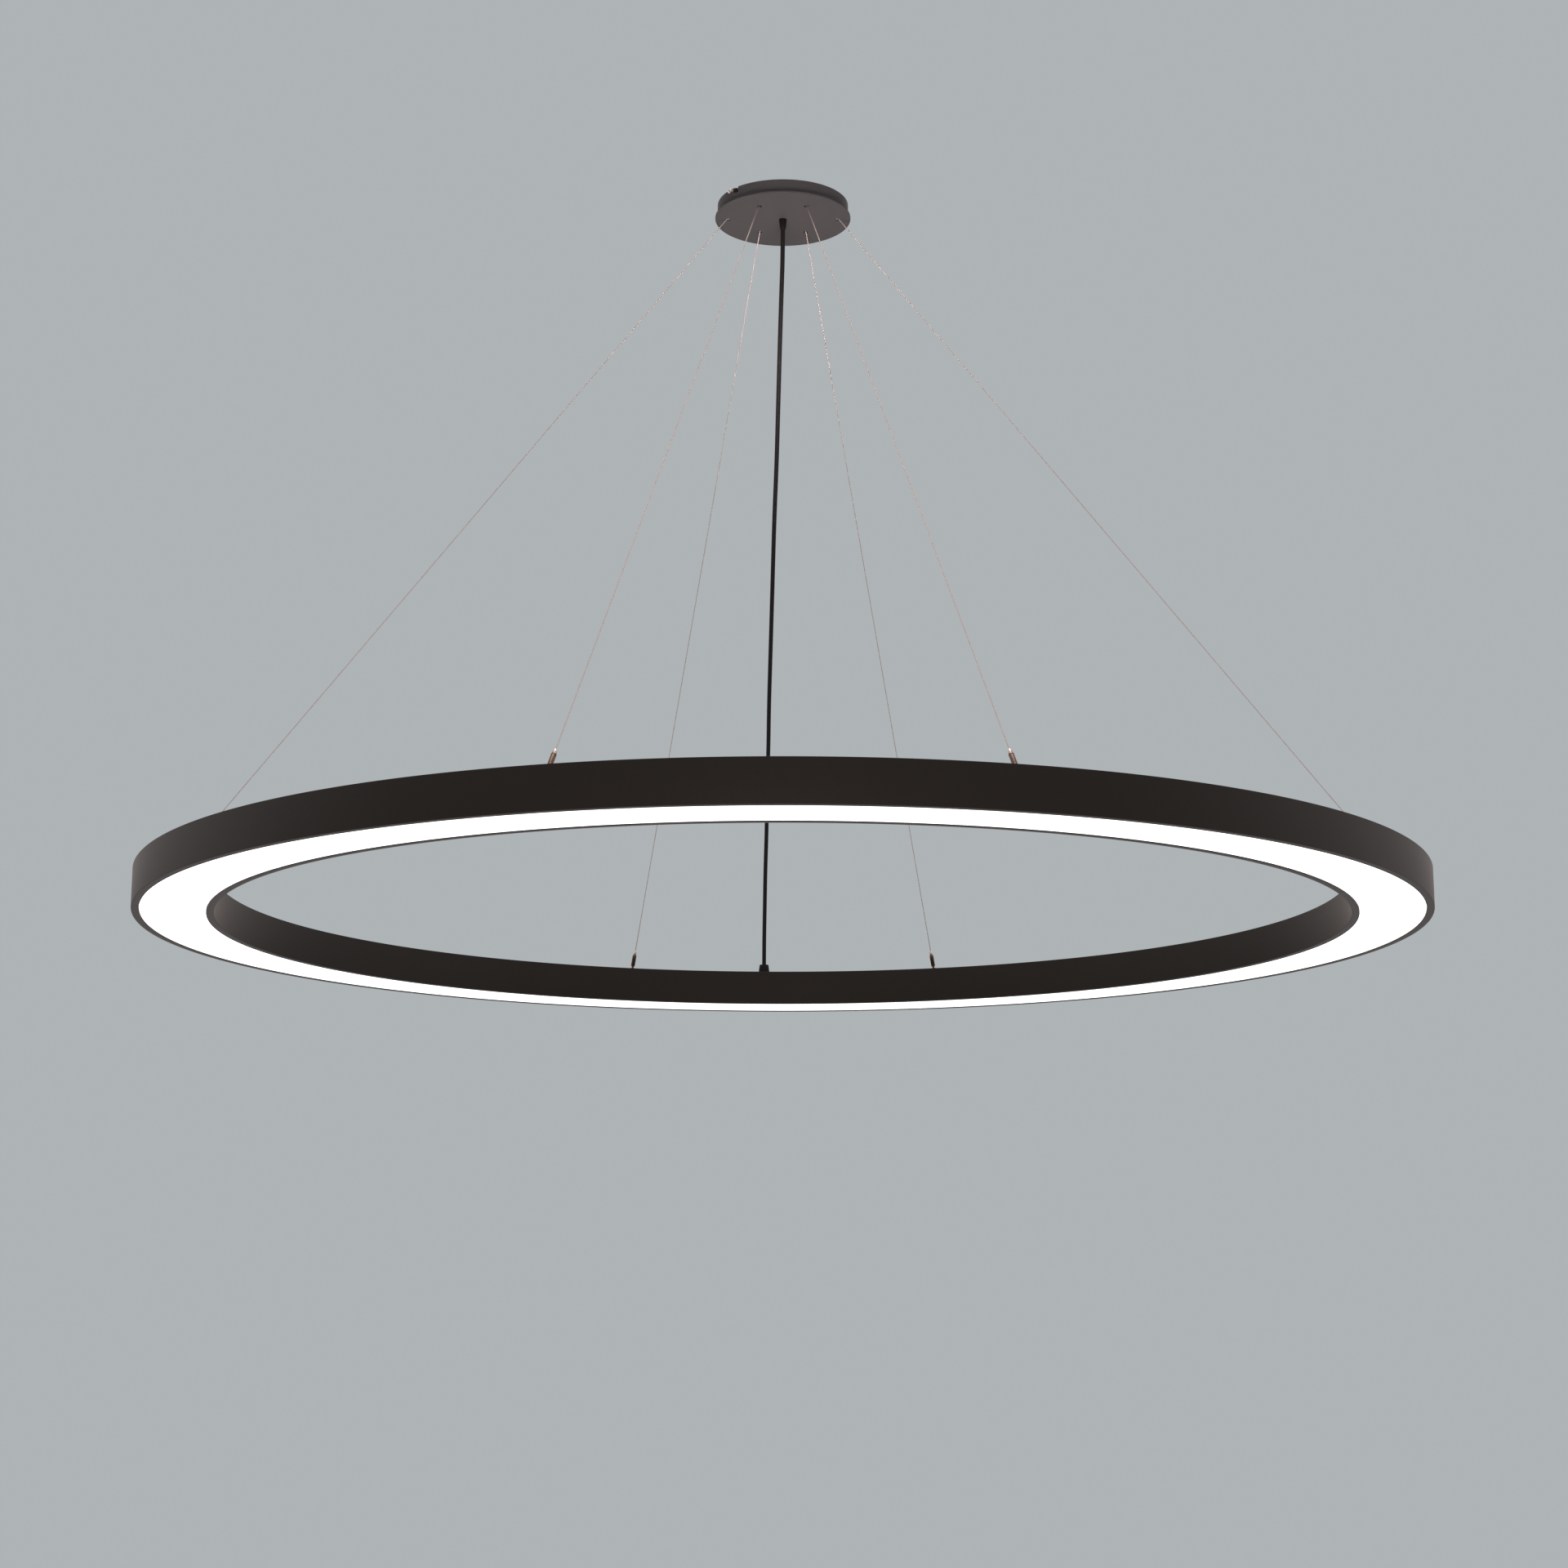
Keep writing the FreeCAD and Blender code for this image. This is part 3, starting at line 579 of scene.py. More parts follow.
class LAMP_OT_stage(PieceOperator, bpy.types.Operator):
    """Camera, studio lights, floor and backdrop"""
    bl_idname = "lamp.stage"
    bl_label = "Studio"

    LENS, TILT = 65.58, 11.88                   # millimetres; degrees upwards
    EYE = (0.0014, -3.3293, -1.4351)
    HALF_WIDTH, FRONT, WALL = 6, -7, 3.4        # of the sweep: x to each side, and y
    FLOOR, TOP = -2.4, 3.4                      # of the sweep: z
    BEND = (2.4, -1.4)                          # y and z of the middle of its bend, 1 m in radius
    GLOW_FULL = -1.95                           # from this height up the sweep is plain grey
    LIGHT_SHADE = (1.0, 0.95, 0.92)
    # name, place, aim, size, spread in degrees, power in watts
    LIGHTS = (
        ("front", (0.0, -2.6, 2.2), (0, 0, -0.6), 2.6, 180, 18.0),
        ("key", (0.0, -3.4, -1.3), (0, 0, -0.4), 1.4, 70, 3.2),
        ("top", (0.0, 0.0, 2.8), (0, 0, -0.6), 3.0, 180, 60.0),
        ("left", (-3.6, 0.1, -0.6), (0, 0, -0.6), 3.4, 180, 19.0),
        ("right", (3.6, 0.1, -0.6), (0, 0, -0.6), 3.4, 180, 19.0),
        ("low", (0.0, -0.6, -2.3), (0, 0, -0.3), 2.4, 120, 7.0),
        ("uplight", (0.0, -0.4, -0.75), (0, 0, -0.05), 0.4, 50, 0.72),
    )

    def build(self, lamp):
        self.camera()
        self.lights()
        self.world(lamp.colours.backdrop)
        y, z = self.BEND
        profile = [(self.FRONT, self.FLOOR), (y, self.FLOOR)]
        profile += [(y + math.sin(math.radians(a)), z - math.cos(math.radians(a))) for a in range(9, 90, 9)]
        profile += [(self.WALL, z), (self.WALL, self.TOP)]
        mesh = bmesh.new()
        rows = [[mesh.verts.new((x, y, z)) for x in (-self.HALF_WIDTH, self.HALF_WIDTH)] for y, z in profile]
        for row, after in zip(rows, rows[1:]):
            mesh.faces.new((row[0], row[1], after[1], after[0]))
        data = bpy.data.meshes.new("sweep")
        mesh.to_mesh(data)
        mesh.free()
        data.shade_smooth()
        sweep = linked("floor_and_backdrop", data)
        data.materials.append(self.studio_grey(lamp.colours.backdrop))

    def camera(self):
        data = bpy.data.cameras.new("camera")
        data.sensor_fit, data.sensor_width, data.lens = "HORIZONTAL", 36.0, self.LENS
        camera = linked("camera", data)
        camera.location = self.EYE
        camera.rotation_euler = (math.radians(90 + self.TILT), 0, 0)
        bpy.context.scene.camera = camera

    def lights(self):
        for name, place, aim, size, spread, power in self.LIGHTS:
            data = bpy.data.lights.new(name, "AREA")
            data.shape, data.size, data.energy, data.spread = "DISK", size, power, math.radians(spread)
            data.color = self.LIGHT_SHADE
            light = linked(name, data)
            light.location = place
            light.rotation_euler = (Vector(aim) - Vector(place)).to_track_quat("-Z", "Y").to_euler()
            light.visible_camera = False

    @staticmethod
    def world(shade):
        """Soft light from all round; to the eye and in reflections the backdrop's grey."""
        world = bpy.data.worlds.new("studio")
        world.use_nodes = True
        bpy.context.scene.world = world
        nodes = Nodes(world.node_tree)
        light = nodes.add("ShaderNodeBackground", None, {"Color": (0.42, 0.45, 0.47), "Strength": 0.62})
        grey = nodes.add("ShaderNodeBackground", None, {"Color": tuple(shade), "Strength": 1.0})
        shown = nodes.add("ShaderNodeMixShader", None, {0: nodes.seen(), 1: light, 2: grey})
        nodes.show(shown, "World Output")

    def studio_grey(self, shade):
        """Plain grey to the eye and in reflections; on the floor partly matt, so that it keeps shadows.
        From behind it is clear, so that it hides the chandelier in no view."""
        finish = Finish("studio_grey", "")
        grain = finish.noise(2.0, 2.0)
        finish.surface(base_color=finish.mix(grain, tinted(shade, 0.99), tinted(shade, 1.01)), roughness=0.9)
        height = finish.add("ShaderNodeSeparateXYZ", None, {"Vector": finish.place()}, output=2)
        glow = finish.add("ShaderNodeMapRange", None, {
            "Value": height, 1: self.FLOOR, 2: self.GLOW_FULL, 3: 0.7, 4: 1.0})
        light = finish.add("ShaderNodeEmission", None, {"Color": tuple(shade), "Strength": 1.0})
        matt = Value(finish, finish.shader.outputs[0])
        front = finish.add("ShaderNodeMixShader", None, {0: finish.seen() * glow, 1: matt, 2: light})
        behind = finish.add("ShaderNodeNewGeometry", output=6)
        clear = finish.add("ShaderNodeBsdfTransparent")
        shown = finish.add("ShaderNodeMixShader", None, {0: behind, 1: front, 2: clear})
        finish.show(shown, "Material Output")
        return finish.material


class LAMP_OT_power_cord(PieceOperator, bpy.types.Operator):
    """Mains cord from the canopy's middle to the back of the ring"""
    bl_idname = "lamp.power_cord"
    bl_label = "Mains cord"

    def build(self, lamp):
        cord = flexible("mains_cord", CORD_ROUTE, lamp.cord.diameter)
        black_rubber("cord_sheath", "black_rubber", lamp.colours.rubber, 0.48).give(cord)
        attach(cord, "lamp")
        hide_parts("power_cord")


class LAMP_OT_wires(PieceOperator, bpy.types.Operator):
    """Six wires of twisted steel strands"""
    bl_idname = "lamp.wires"
    bl_label = "Wires"

    def build(self, lamp):
        sizes = lamp.suspension
        steel = turned_metal("strand_steel", "wire_steel", lamp.colours.wire, 0.60, 0.5)
        for number, (route, (x, y)) in enumerate(zip(WIRE_ROUTES, WIRE_EXITS), 1):
            points = centreline(route, 1.2 * MM)
            wire = twisted("strands_%d" % number, points, sizes.wire_diameter / 2,
                           sizes.strands, sizes.strand_pitch)
            steel.give(wire)
            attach(wire, "lamp")
            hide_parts("wire_%d" % number)
            WIRE_LENGTHS[number - 1]


class LAMP_OT_ring_housing(PieceOperator, bpy.types.Operator):
    """Channel of the ring, with its lips and softened edges"""
    bl_idname = "lamp.ring_housing"
    bl_label = "Ring housing"

    def build(self, lamp):
        r = lamp.ring
        low, high, inner, outer = RING_LOW.z, RING_HIGH.z, r.inner_radius, r.outer_radius
        lip_top, roof = low + r.lip_thickness, high - r.wall
        outline = [(outer, high), (outer, low), (outer - r.lip_width, low), (outer - r.lip_width, lip_top),
                   (outer - r.wall, lip_top), (outer - r.wall, roof), (inner + r.wall, roof),
                   (inner + r.wall, lip_top), (inner + r.lip_width, lip_top), (inner + r.lip_width, low),
                   (inner, low), (inner, high)]
        e = r.edge_radius
        radii = [e, e, e / 2, 0, 0, 0, 0, 0, 0, e / 2, e, e]
        ring = turned("ring_channel", rounded(outline, radii), r.steps)
        powder_coat("ring_coat", "ring_coat", lamp.colours.coat, 0.22).give(ring)
        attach(ring, "lamp")
        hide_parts("ring_housing")


class LAMP_OT_diffuser(PieceOperator, bpy.types.Operator):
    """Opal between the lips, lit"""
    bl_idname = "lamp.diffuser"
    bl_label = "Opal diffuser"

    def build(self, lamp):
        r = lamp.ring
        lip_top = RING_LOW.z + r.lip_thickness
        face, top = RING_LOW.z + r.opal_recess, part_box("diffuser")[1].z
        outer, inner = r.outer_radius - r.lip_width, r.inner_radius + r.lip_width
        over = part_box("diffuser")[1].x
        reach = over - outer
        outline = [(outer - r.opal_gap, face), (outer - r.opal_gap, lip_top), (over, lip_top), (over, top),
                   (inner - reach, top), (inner - reach, lip_top), (inner + r.opal_gap, lip_top),
                   (inner + r.opal_gap, face)]
        radii = [0.4 * MM, 0, 0, 0, 0, 0, 0, 0.4 * MM]
        opal = turned("opal_ring", rounded(outline, radii), r.steps)
        opal_light(lamp.colours.opal).give(opal)
        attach(opal, "lamp")
        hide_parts("diffuser")


class LAMP_OT_canopy(PieceOperator, bpy.types.Operator):
    """Cup with its angled slots, and the face under it"""
    bl_idname = "lamp.canopy"
    bl_label = "Canopy"

    SCREWS = (40.0, 220.0)          # azimuths of the side screws
    LEG = 2.2 * MM                  # half the height of a slot's level leg, and its reach past the screw
    STEP = 1.5                      # degrees between the wall's upright lines
    SLOT_MIDDLE, SLOT_CLEAR = 3.5, 6.2      # degrees on from a screw, and to each side without such lines
    SLOT_FLANKS = (-2.2, 8.8)       # degrees on from a screw to the first lines beside its slot
    CORD_HOLE = 4.55 * MM           # radius
    WIRE_OFF_CENTRE = 2.1           # millimetres from a wire to the middle of its hole

    def build(self, lamp):
        sizes = lamp.canopy
        cup, face = self.cup(sizes), self.face(sizes)
        # The canopy coat is a lighter copy of the ring's coat: painted light for the canopy's brighter
        # lighting
        powder_coat("canopy_coat", "canopy_coat", lamp.colours.canopy_coat, 0.10).give(cup, face)
        for piece, node in ((cup, "canopy_cup"), (face, "canopy_face")):
            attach(piece, "lamp")
            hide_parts(node)

    def cup(self, sizes):
        """The upright wall as a sheet with the slots left out, thickened, and its four inner tabs."""
        radius, half = sizes.cup_radius, sizes.slot_width / 2
        heights = [0.0, sizes.screw_height + self.LEG, sizes.screw_height - self.LEG,
                   -sizes.slot_depth, FACE_HIGH.z]
        breaks = [-self.LEG, 0.0, sizes.slot_offset - half, sizes.slot_offset + half]
        even = [self.STEP * i for i in range(round(360 / self.STEP))]
        angles = [math.radians(a) + b / radius for a in self.SCREWS for b in breaks]
        angles += [math.radians(e) for e in even
                   if all(abs((e - a) - self.SLOT_MIDDLE) > self.SLOT_CLEAR for a in self.SCREWS)]
        angles += [math.radians(a + d) for a in self.SCREWS for d in self.SLOT_FLANKS]
        angles.sort()
        mesh = bmesh.new()
        rings = [[mesh.verts.new((radius * math.cos(a), radius * math.sin(a), z)) for z in heights]
                 for a in angles]
        ends = angles[1:] + [angles[0] + 2 * math.pi]
        for i, ring in enumerate(rings):
            after = rings[(i + 1) % len(rings)]
            middle = (angles[i] + ends[i]) / 2
            for k in range(len(heights) - 1):
                height = (heights[k] + heights[k + 1]) / 2
                if not self.in_slot(sizes, middle, height):
                    mesh.faces.new((ring[k], ring[k + 1], after[k + 1], after[k]))
        wall = finished("cup_wall", mesh)
        thick = wall.modifiers.new("sheet", "SOLIDIFY")
        thick.thickness, thick.offset, thick.use_even_offset = sizes.cup_wall, -1.0, True
        edge = wall.modifiers.new("edge", "BEVEL")
        edge.width, edge.segments = 0.18 * MM, 2
        edge.limit_method, edge.angle_limit = "ANGLE", math.radians(50)
        sheet = evaluated(wall)
        wall.modifiers.clear()
        wall.data = sheet
        tabs = [moved(self.tab(sizes), Matrix.Rotation(math.radians(10 + 90 * i), 4, "Z")) for i in range(4)]
        return joined("cup", [wall] + tabs)

    @staticmethod
    def tab(sizes):
        """A tab bent inwards from the wall at azimuth 0, its free corners rounded."""
        root, end, half = sizes.cup_radius - 0.6 * MM, sizes.cup_radius - sizes.cup_wall - 9 * MM, 6 * MM
        outline = rounded([(root, -half, 0), (root, half, 0), (end, half, 0), (end, -half, 0)],
                          [0, 0, 2.5 * MM, 2.5 * MM], 6)
        return plate("tab", [(p.x, p.y) for p in outline], [],
                     FACE_HIGH.z, FACE_HIGH.z + sizes.cup_wall, 0.15 * MM)

    def in_slot(self, sizes, angle, height):
        """Whether a place on the wall lies in the open leg or in the level leg of a slot."""
        for azimuth in self.SCREWS:
            along = (angle - math.radians(azimuth)) * sizes.cup_radius
            if abs(along - sizes.slot_offset) < sizes.slot_width / 2 and height > -sizes.slot_depth:
                return True
            if -self.LEG < along < sizes.slot_offset and abs(height - sizes.screw_height) < self.LEG:
                return True
        return False

    def face(self, sizes):
        """The disc, with a hole for the cord's strain relief and one for each wire."""
        holes = [circle(self.CORD_HOLE, 48)]
        for route, (x, y) in zip(WIRE_ROUTES, WIRE_EXITS):
            heading = (Vector(route[0]) - Vector((x, y, 0))).to_2d().normalized()
            centre = Vector((x, y)) - heading * self.WIRE_OFF_CENTRE * MM
            holes.append(circle(sizes.wire_hole_radius, 40, centre.x, centre.y))
        return plate("face_disc", circle(sizes.face_radius, 240), holes,
                     FACE_LOW.z, FACE_HIGH.z, 0.2 * MM)


class LAMP_OT_lock_screws(PieceOperator, bpy.types.Operator):
    """Side screws of the canopy, knurled, with hexagon sockets"""
    bl_idname = "lamp.lock_screws"
    bl_label = "Side screws"

    def build(self, lamp):
        sizes = lamp.canopy
        steel = turned_metal("side_screw_steel", "screw_steel", lamp.colours.screw, 0.20)
        for number, azimuth in ((1, 220.0), (2, 40.0)):
            screw = moved(self.screw(sizes, "side_screw_%d" % number), outward(azimuth, sizes.screw_height))
            steel.give(screw)
            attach(screw, "lock_screw_%d" % number)
            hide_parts("lock_screw_%d" % number)

    @staticmethod
    def screw(sizes, name):
        """Head with a knurled side and a socket, on a plain shank; +Z points out of the canopy."""
        seat = sizes.cup_radius + 0.05 * MM
        head_r, head = sizes.screw_head_radius, sizes.screw_head_length
        steps, socket = 72, 1.5 * MM / math.cos(math.radians(30))
        plain, knurled, hexagonal = range(3)
        rows = [(1.75 * MM, seat - 7 * MM, plain), (2.0 * MM, seat - 6.7 * MM, plain),
                (2.0 * MM, seat, plain), (head_r - 0.25 * MM, seat, plain),
                (head_r, seat + 0.25 * MM, knurled), (head_r, seat + head - 0.6 * MM, knurled),
                (head_r - 0.15 * MM, seat + head - 0.25 * MM, plain), (head_r - 0.5 * MM, seat + head, plain),
                (socket + 0.15 * MM, seat + head, hexagonal), (socket, seat + head - 0.15 * MM, hexagonal),
                (socket, seat + head - 3 * MM, hexagonal)]
        mesh = bmesh.new()
        rings = []
        for i in range(steps):
            angle = 2 * math.pi * i / steps
            ring = []
            for radius, height, kind in rows:
                if kind == knurled:
                    radius -= 0.12 * MM if i % 2 else 0.0
                if kind == hexagonal:
                    sector = (math.degrees(angle) + 30) % 60 - 30
                    radius *= math.cos(math.radians(30)) / math.cos(math.radians(sector))
                ring.append(mesh.verts.new((radius * math.cos(angle), radius * math.sin(angle), height)))
            rings.append(ring)
        for i, ring in enumerate(rings):
            after = rings[(i + 1) % steps]
            for k in range(len(rows) - 1):
                mesh.faces.new((ring[k], ring[k + 1], after[k + 1], after[k]))
        mesh.faces.new([ring[0] for ring in rings])
        mesh.faces.new([ring[-1] for ring in reversed(rings)])
        return finished(name, mesh, 30.0)


class LAMP_OT_cord_glands(PieceOperator, bpy.types.Operator):
    """Strain relief under the canopy and gland on the ring"""
    bl_idname = "lamp.cord_glands"
    bl_label = "Cord glands"

    def build(self, lamp):
        sizes = lamp.cord
        bore = sizes.diameter / 2 + 0.05 * MM
        low, seat = FACE_LOW.z - sizes.grip_length, FACE_LOW.z
        grip = turned("strain_relief", rounded(
            [(bore, low), (3.5 * MM, low), (4.9 * MM, seat), (4.5 * MM, seat), (4.5 * MM, seat + 7.3 * MM),
             (bore, seat + 7.3 * MM)], [0.2 * MM, 0.6 * MM, 0.5 * MM, 0, 0.3 * MM, 0]), 64)
        top = RING_HIGH.z + sizes.gland_height
        gland = turned("ring_gland", rounded(
            [(bore, RING_HIGH.z - 7.5 * MM), (6 * MM, RING_HIGH.z - 7.5 * MM), (6 * MM, RING_HIGH.z),
             (8.5 * MM, RING_HIGH.z), (6.3 * MM, top), (bore, top)],
            [0, 0.3 * MM, 0, 0.5 * MM, 0.6 * MM, 0.2 * MM]), 72)
        moved(gland, Matrix.Translation(GLAND_PLACE))
        black_rubber("gland_rubber", "black_rubber", lamp.colours.gland, 0.50).give(grip, gland)
        for piece, node in ((grip, "cord_grip"), (gland, "cord_gland")):
            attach(piece, "lamp")
            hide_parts(node)


class LAMP_OT_grippers(PieceOperator, bpy.types.Operator):
    """In-line wire grippers with their release nozzles"""
    bl_idname = "lamp.grippers"
    bl_label = "Grippers"

    def build(self, lamp):
        sizes = lamp.suspension
        bronze = turned_metal("gripper_bronze", "bronze", lamp.colours.bronze, 0.30, 0.6)
        pale = turned_metal("nozzle_pale", "nozzle_metal", lamp.colours.nozzle, 0.40)
        bright = turned_metal("spring_steel", "wire_steel", lamp.colours.screw, 0.25)
        for number, route in enumerate(WIRE_ROUTES, 1):
            place = along_wire(route)
            body = moved(self.body(sizes, "gripper_%d" % number), place)
            nozzle = moved(self.nozzle(sizes, "nozzle_%d" % number), place)
            spring = moved(self.spring(sizes, "return_spring_%d" % number), place)
            bronze.give(body)
            pale.give(nozzle)
            bright.give(spring)
            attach(spring, "lamp")
            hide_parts("gripper_springs")
            "nozzle_press_%d" % number
            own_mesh(spring)
            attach(body, "lamp")
            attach(nozzle, "nozzle_%d" % number)
            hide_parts("gripper_body_%d" % number)
            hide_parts("gripper_nozzle_%d" % number)

    @staticmethod
    def body(sizes, name):
        """Grooved barrel with a blind bore, and the tongue with its rounded eye on the pin."""
        r, start, end = sizes.gripper_radius, sizes.gripper_start, sizes.gripper_end
        groove = 0.25 * MM
        barrel = turned("barrel", rounded([
            (0.1 * MM, start), (r - 1.4 * MM, start), (r, start + 1.4 * MM),
            (r, start + 3.0 * MM), (r - groove, start + 3.2 * MM),
            (r - groove, start + 3.7 * MM), (r, start + 3.9 * MM),
            (r, end - 2.8 * MM), (r - groove, end - 2.6 * MM),
            (r - groove, end - 2.1 * MM), (r, end - 1.9 * MM),
            (r, end - 0.7 * MM), (r - 0.7 * MM, end), (1.75 * MM, end), (1.75 * MM, end - 10 * MM),
            (0.1 * MM, end - 10 * MM)], [0, 0.3 * MM, 0.5 * MM] + [0.06 * MM] * 8
            + [0.2 * MM, 0.2 * MM, 0.1 * MM, 0, 0]), 48)
        eye, reach = 2.0 * MM, start + 0.6 * MM
        outline = arc(eye, range(180, 361, 12)) + [(eye, reach), (-eye, reach)]
        tongue = plate("tongue", outline, [], -0.9 * MM, 0.9 * MM, 0.2 * MM)
        moved(tongue, Matrix.Rotation(math.radians(90), 4, "X"))
        return joined(name, [barrel, tongue])

    @staticmethod
    def spring(sizes, name):
        """Return spring under the nozzle's stem: wire wound in an open coil."""
        turns, steps, sides = 4.5, 20, 8
        coil, gauge = 1.2 * MM, 0.27 * MM
        low, high = sizes.bore_start + gauge, sizes.nozzle_start - gauge
        mesh = bmesh.new()
        rings = []
        for i in range(int(turns * steps) + 1):
            angle = 2 * math.pi * i / steps
            spoke = Vector((math.cos(angle), math.sin(angle), 0))
            centre = spoke * coil + UP * (low + (high - low) * i / (turns * steps))
            rings.append([mesh.verts.new(centre + gauge * (spoke * math.cos(a) + UP * math.sin(a)))
                          for a in (2 * math.pi * k / sides for k in range(sides))])
        return tube(name, mesh, rings, 60.0)

    @staticmethod
    def nozzle(sizes, name):
        """Stem inside the body and tapered head above it, with the wire's bore through both."""
        head, length = sizes.nozzle_head, sizes.nozzle_length
        bore = 0.75 * MM
        return turned(name, rounded([
            (bore, sizes.nozzle_start), (1.65 * MM, sizes.nozzle_start), (1.65 * MM, head), (2.1 * MM, head),
            (2.1 * MM, head + 0.9 * MM), (1.35 * MM, head + length), (bore, head + length)],
            [0, 0, 0.1 * MM, 0.15 * MM, 0.3 * MM, 0.2 * MM, 0.1 * MM]), 40)


class LAMP_OT_anchor_seats(PieceOperator, bpy.types.Operator):
    """Forked seats and pins that the grippers pivot in"""
    bl_idname = "lamp.anchor_seats"
    bl_label = "Anchor seats"

    def build(self, lamp):
        seats, pins = [], []
        for route in WIRE_ROUTES:
            place = at_anchor(route)
            seats.append(moved(self.seat(), place))
            pins.append(moved(self.pin(), place))
        seat_group, pin_group = joined("seats", seats), joined("pins", pins)
        turned_metal("seat_bronze", "bronze", lamp.colours.bronze, 0.34, 0.6).give(seat_group)
        turned_metal("pin_steel", "wire_steel", lamp.colours.screw, 0.25).give(pin_group)
        for piece, node in ((seat_group, "anchor_seats"), (pin_group, "anchor_pins")):
            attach(piece, "lamp")
            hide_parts(node)

    @staticmethod
    def seat():
        """Six-sided base and two rounded ears; the origin is at the pin."""
        foot = -5.0 * MM
        corner = 4.5 * MM / math.cos(math.radians(30))
        base = plate("base", arc(corner, range(30, 390, 60)), [], foot, foot + 2.2 * MM, 0.3 * MM)
        r = 2.2 * MM
        outline = [(r, foot + 2.0 * MM)] + arc(r, range(0, 181, 12)) + [(-r, foot + 2.0 * MM)]
        parts = [base]
        for side in (-1, 1):
            ear = plate("ear", outline, [], -0.7 * MM, 0.7 * MM, 0.18 * MM)
            turn = Matrix.Translation((0, side * 1.75 * MM, 0)) @ Matrix.Rotation(math.radians(90), 4, "X")
            parts.append(moved(ear, turn))
        return joined("seat", parts)

    @staticmethod
    def pin():
        half = 2.45 * MM
        outline = [(0.02 * MM, -half), (1.0 * MM, -half), (1.0 * MM, half), (0.02 * MM, half)]
        pin = turned("pin", rounded(outline, [0, 0.2 * MM, 0.2 * MM, 0]), 32)
        return moved(pin, Matrix.Rotation(math.radians(90), 4, "X"))


class LAMP_OT_inner_leads(PieceOperator, bpy.types.Operator):
    """Insulated cores and leads inside the canopy and the ring"""
    bl_idname = "lamp.inner_leads"
    bl_label = "Inner leads"

    CORE, LEAD = 1.4 * MM, 3.2 * MM             # diameters
    CORES = (-1.7 * MM, 0.0, 1.7 * MM)          # the three cores, across the cord

    def build(self, lamp):
        canopy = [flexible("core", [(x, 0, -0.009), (x, -0.0005, -0.0068),
                                    (x, -0.005, -0.006), (x, -0.014, -0.006)], self.CORE)
                  for x in self.CORES]
        x, y = GLAND_PLACE.x, GLAND_PLACE.y
        ring = [flexible("core", [(x, y + d, -0.877), (x, y + d, -0.8806), (x + 0.0015, y + d, -0.8815),
                                  (x + 0.006, y + d, -0.8815), (0.010, y + d, -0.8815)], self.CORE)
                for d in self.CORES]
        ring += [flexible("lead", ends, self.LEAD) for ends in (
            [(0.0508, 0.7032, -0.8855), (0.23, 0.6448, -0.8855), (0.4088, 0.5864, -0.8855)],
            [(0.0094, 0.7034, -0.8855), (-0.12, 0.6861, -0.8855), (-0.2550, 0.6680, -0.8855)])]
        cores = self.as_mesh("canopy_cores", canopy)
        leads = self.as_mesh("ring_cores", ring)
        moulded("core_sheath", "lead_white", (0.62, 0.62, 0.60), 0.42).give(cores, leads)
        for piece, node in ((cores, "canopy_leads"), (leads, "ring_leads")):
            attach(piece, "lamp")
            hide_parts(node)

    @staticmethod
    def as_mesh(name, curves):
        """Turns curves into one smooth mesh."""
        parts = []
        for curve in curves:
            data = evaluated(curve)
            bpy.data.objects.remove(curve)
            parts.append(linked("part", data))
        whole = joined(name, parts)
        whole.data.shade_smooth()
        return whole


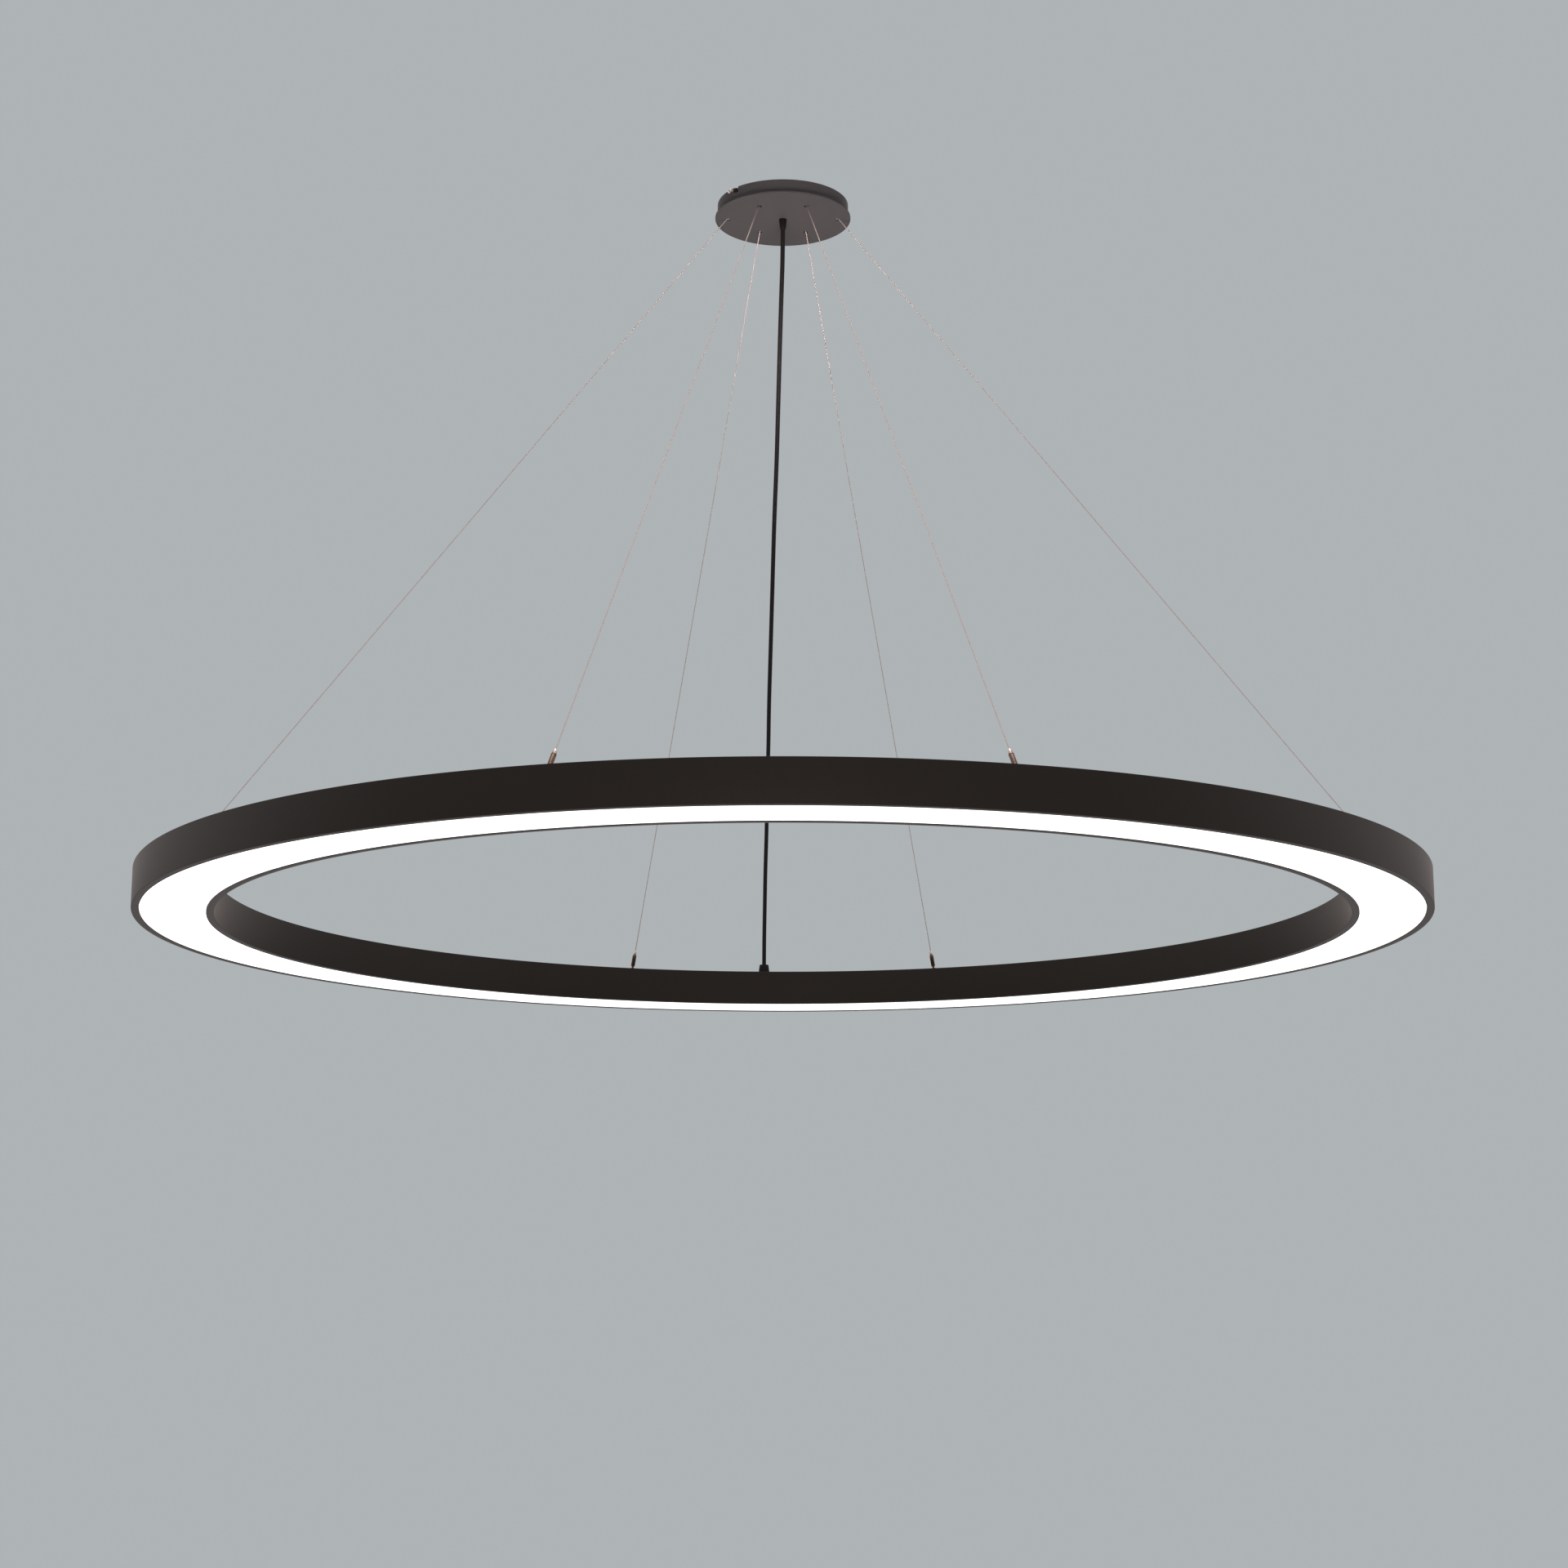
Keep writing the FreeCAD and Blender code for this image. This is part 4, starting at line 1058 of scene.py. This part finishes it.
class LAMP_OT_inner_finishes(PieceOperator, bpy.types.Operator):
    """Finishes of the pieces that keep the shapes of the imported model"""
    bl_idname = "lamp.inner_finishes"
    bl_label = "Inner finishes"

    def build(self, lamp):
        nodes, colours = frame["nodes"], lamp.colours
        for finish, names in (
                # The ceiling plate's near-black zinc is painted shade, showing dark through the cup's slots
                (zinc_plate("plate_black_zinc", "zinc", colours.slot_shade_zinc), ["ceiling_plate"]),
                (zinc_plate("hanger_zinc", "zinc", colours.zinc), ["hanger_plate", "hanger_pillars"]),
                (turned_metal("fixing_steel", "zinc", colours.zinc, 0.28),
                 ["hanger_screws", "face_nuts", "anchor_nuts", "tray_screws", "tray_pillars", "earth_screw"]),
                (turned_metal("stop_steel", "wire_steel", colours.wire, 0.3), ["wire_stops"]),
                (moulded("nut_nylon", "black_nylon", (0.02, 0.02, 0.02)), ["grip_nut", "gland_nut"]),
                (zinc_plate("tray_sheet", "tray_aluminium", colours.zinc), ["led_tray"]),
                (moulded("board_lacquer", "board_white", (0.80, 0.80, 0.78), 0.35), ["led_boards"]),
                (moulded("chip_phosphor", "chip_yellow", (0.78, 0.62, 0.16), 0.5), ["led_chips"]),
                (moulded("case_plastic", "driver_white", (0.76, 0.76, 0.74), 0.45),
                 ["driver_1", "driver_2", "canopy_terminal_block", "ring_terminal_block"])):
            finish.give(*[nodes[name] for name in names])


class LAMP_PT_pieces(bpy.types.Panel):
    """Lists the pieces of the ring chandelier"""
    bl_label = "Ring Chandelier"
    bl_idname = "LAMP_PT_pieces"
    bl_space_type = "VIEW_3D"
    bl_region_type = "UI"
    bl_category = "Lamp"

    def draw(self, context):
        lamp = context.scene.ring_chandelier
        for operator in OPERATORS:
            self.layout.operator(operator.bl_idname)
        for group in (lamp.ring, lamp.canopy, lamp.suspension, lamp.cord, lamp.colours):
            column = self.layout.column(align=True)
            for name in group.__annotations__:
                column.prop(group, name)


OPERATORS = (
    LAMP_OT_stage, LAMP_OT_power_cord, LAMP_OT_wires, LAMP_OT_ring_housing, LAMP_OT_diffuser, LAMP_OT_canopy,
    LAMP_OT_lock_screws, LAMP_OT_cord_glands, LAMP_OT_grippers, LAMP_OT_anchor_seats, LAMP_OT_inner_leads,
    LAMP_OT_inner_finishes,
)
CLASSES = (RingSizes, CanopySizes, SuspensionSizes, CordSizes, Colours, LampSettings, *OPERATORS,
           LAMP_PT_pieces)


def register():
    for item in CLASSES:
        bpy.utils.register_class(item)
    bpy.types.Scene.ring_chandelier = PointerProperty(type=LampSettings)


def unregister():
    del bpy.types.Scene.ring_chandelier
    for item in reversed(CLASSES):
        bpy.utils.unregister_class(item)


def main():
    register()
    bpy.context.scene.view_settings.view_transform = "Standard"
    bpy.ops.lamp.stage()
    bpy.ops.lamp.power_cord()
    bpy.ops.lamp.wires()
    bpy.ops.lamp.ring_housing()
    bpy.ops.lamp.diffuser()
    bpy.ops.lamp.canopy()
    bpy.ops.lamp.lock_screws()
    bpy.ops.lamp.cord_glands()
    bpy.ops.lamp.grippers()
    bpy.ops.lamp.anchor_seats()
    bpy.ops.lamp.inner_leads()
    bpy.ops.lamp.inner_finishes()


if __name__ == "__main__":
    main()
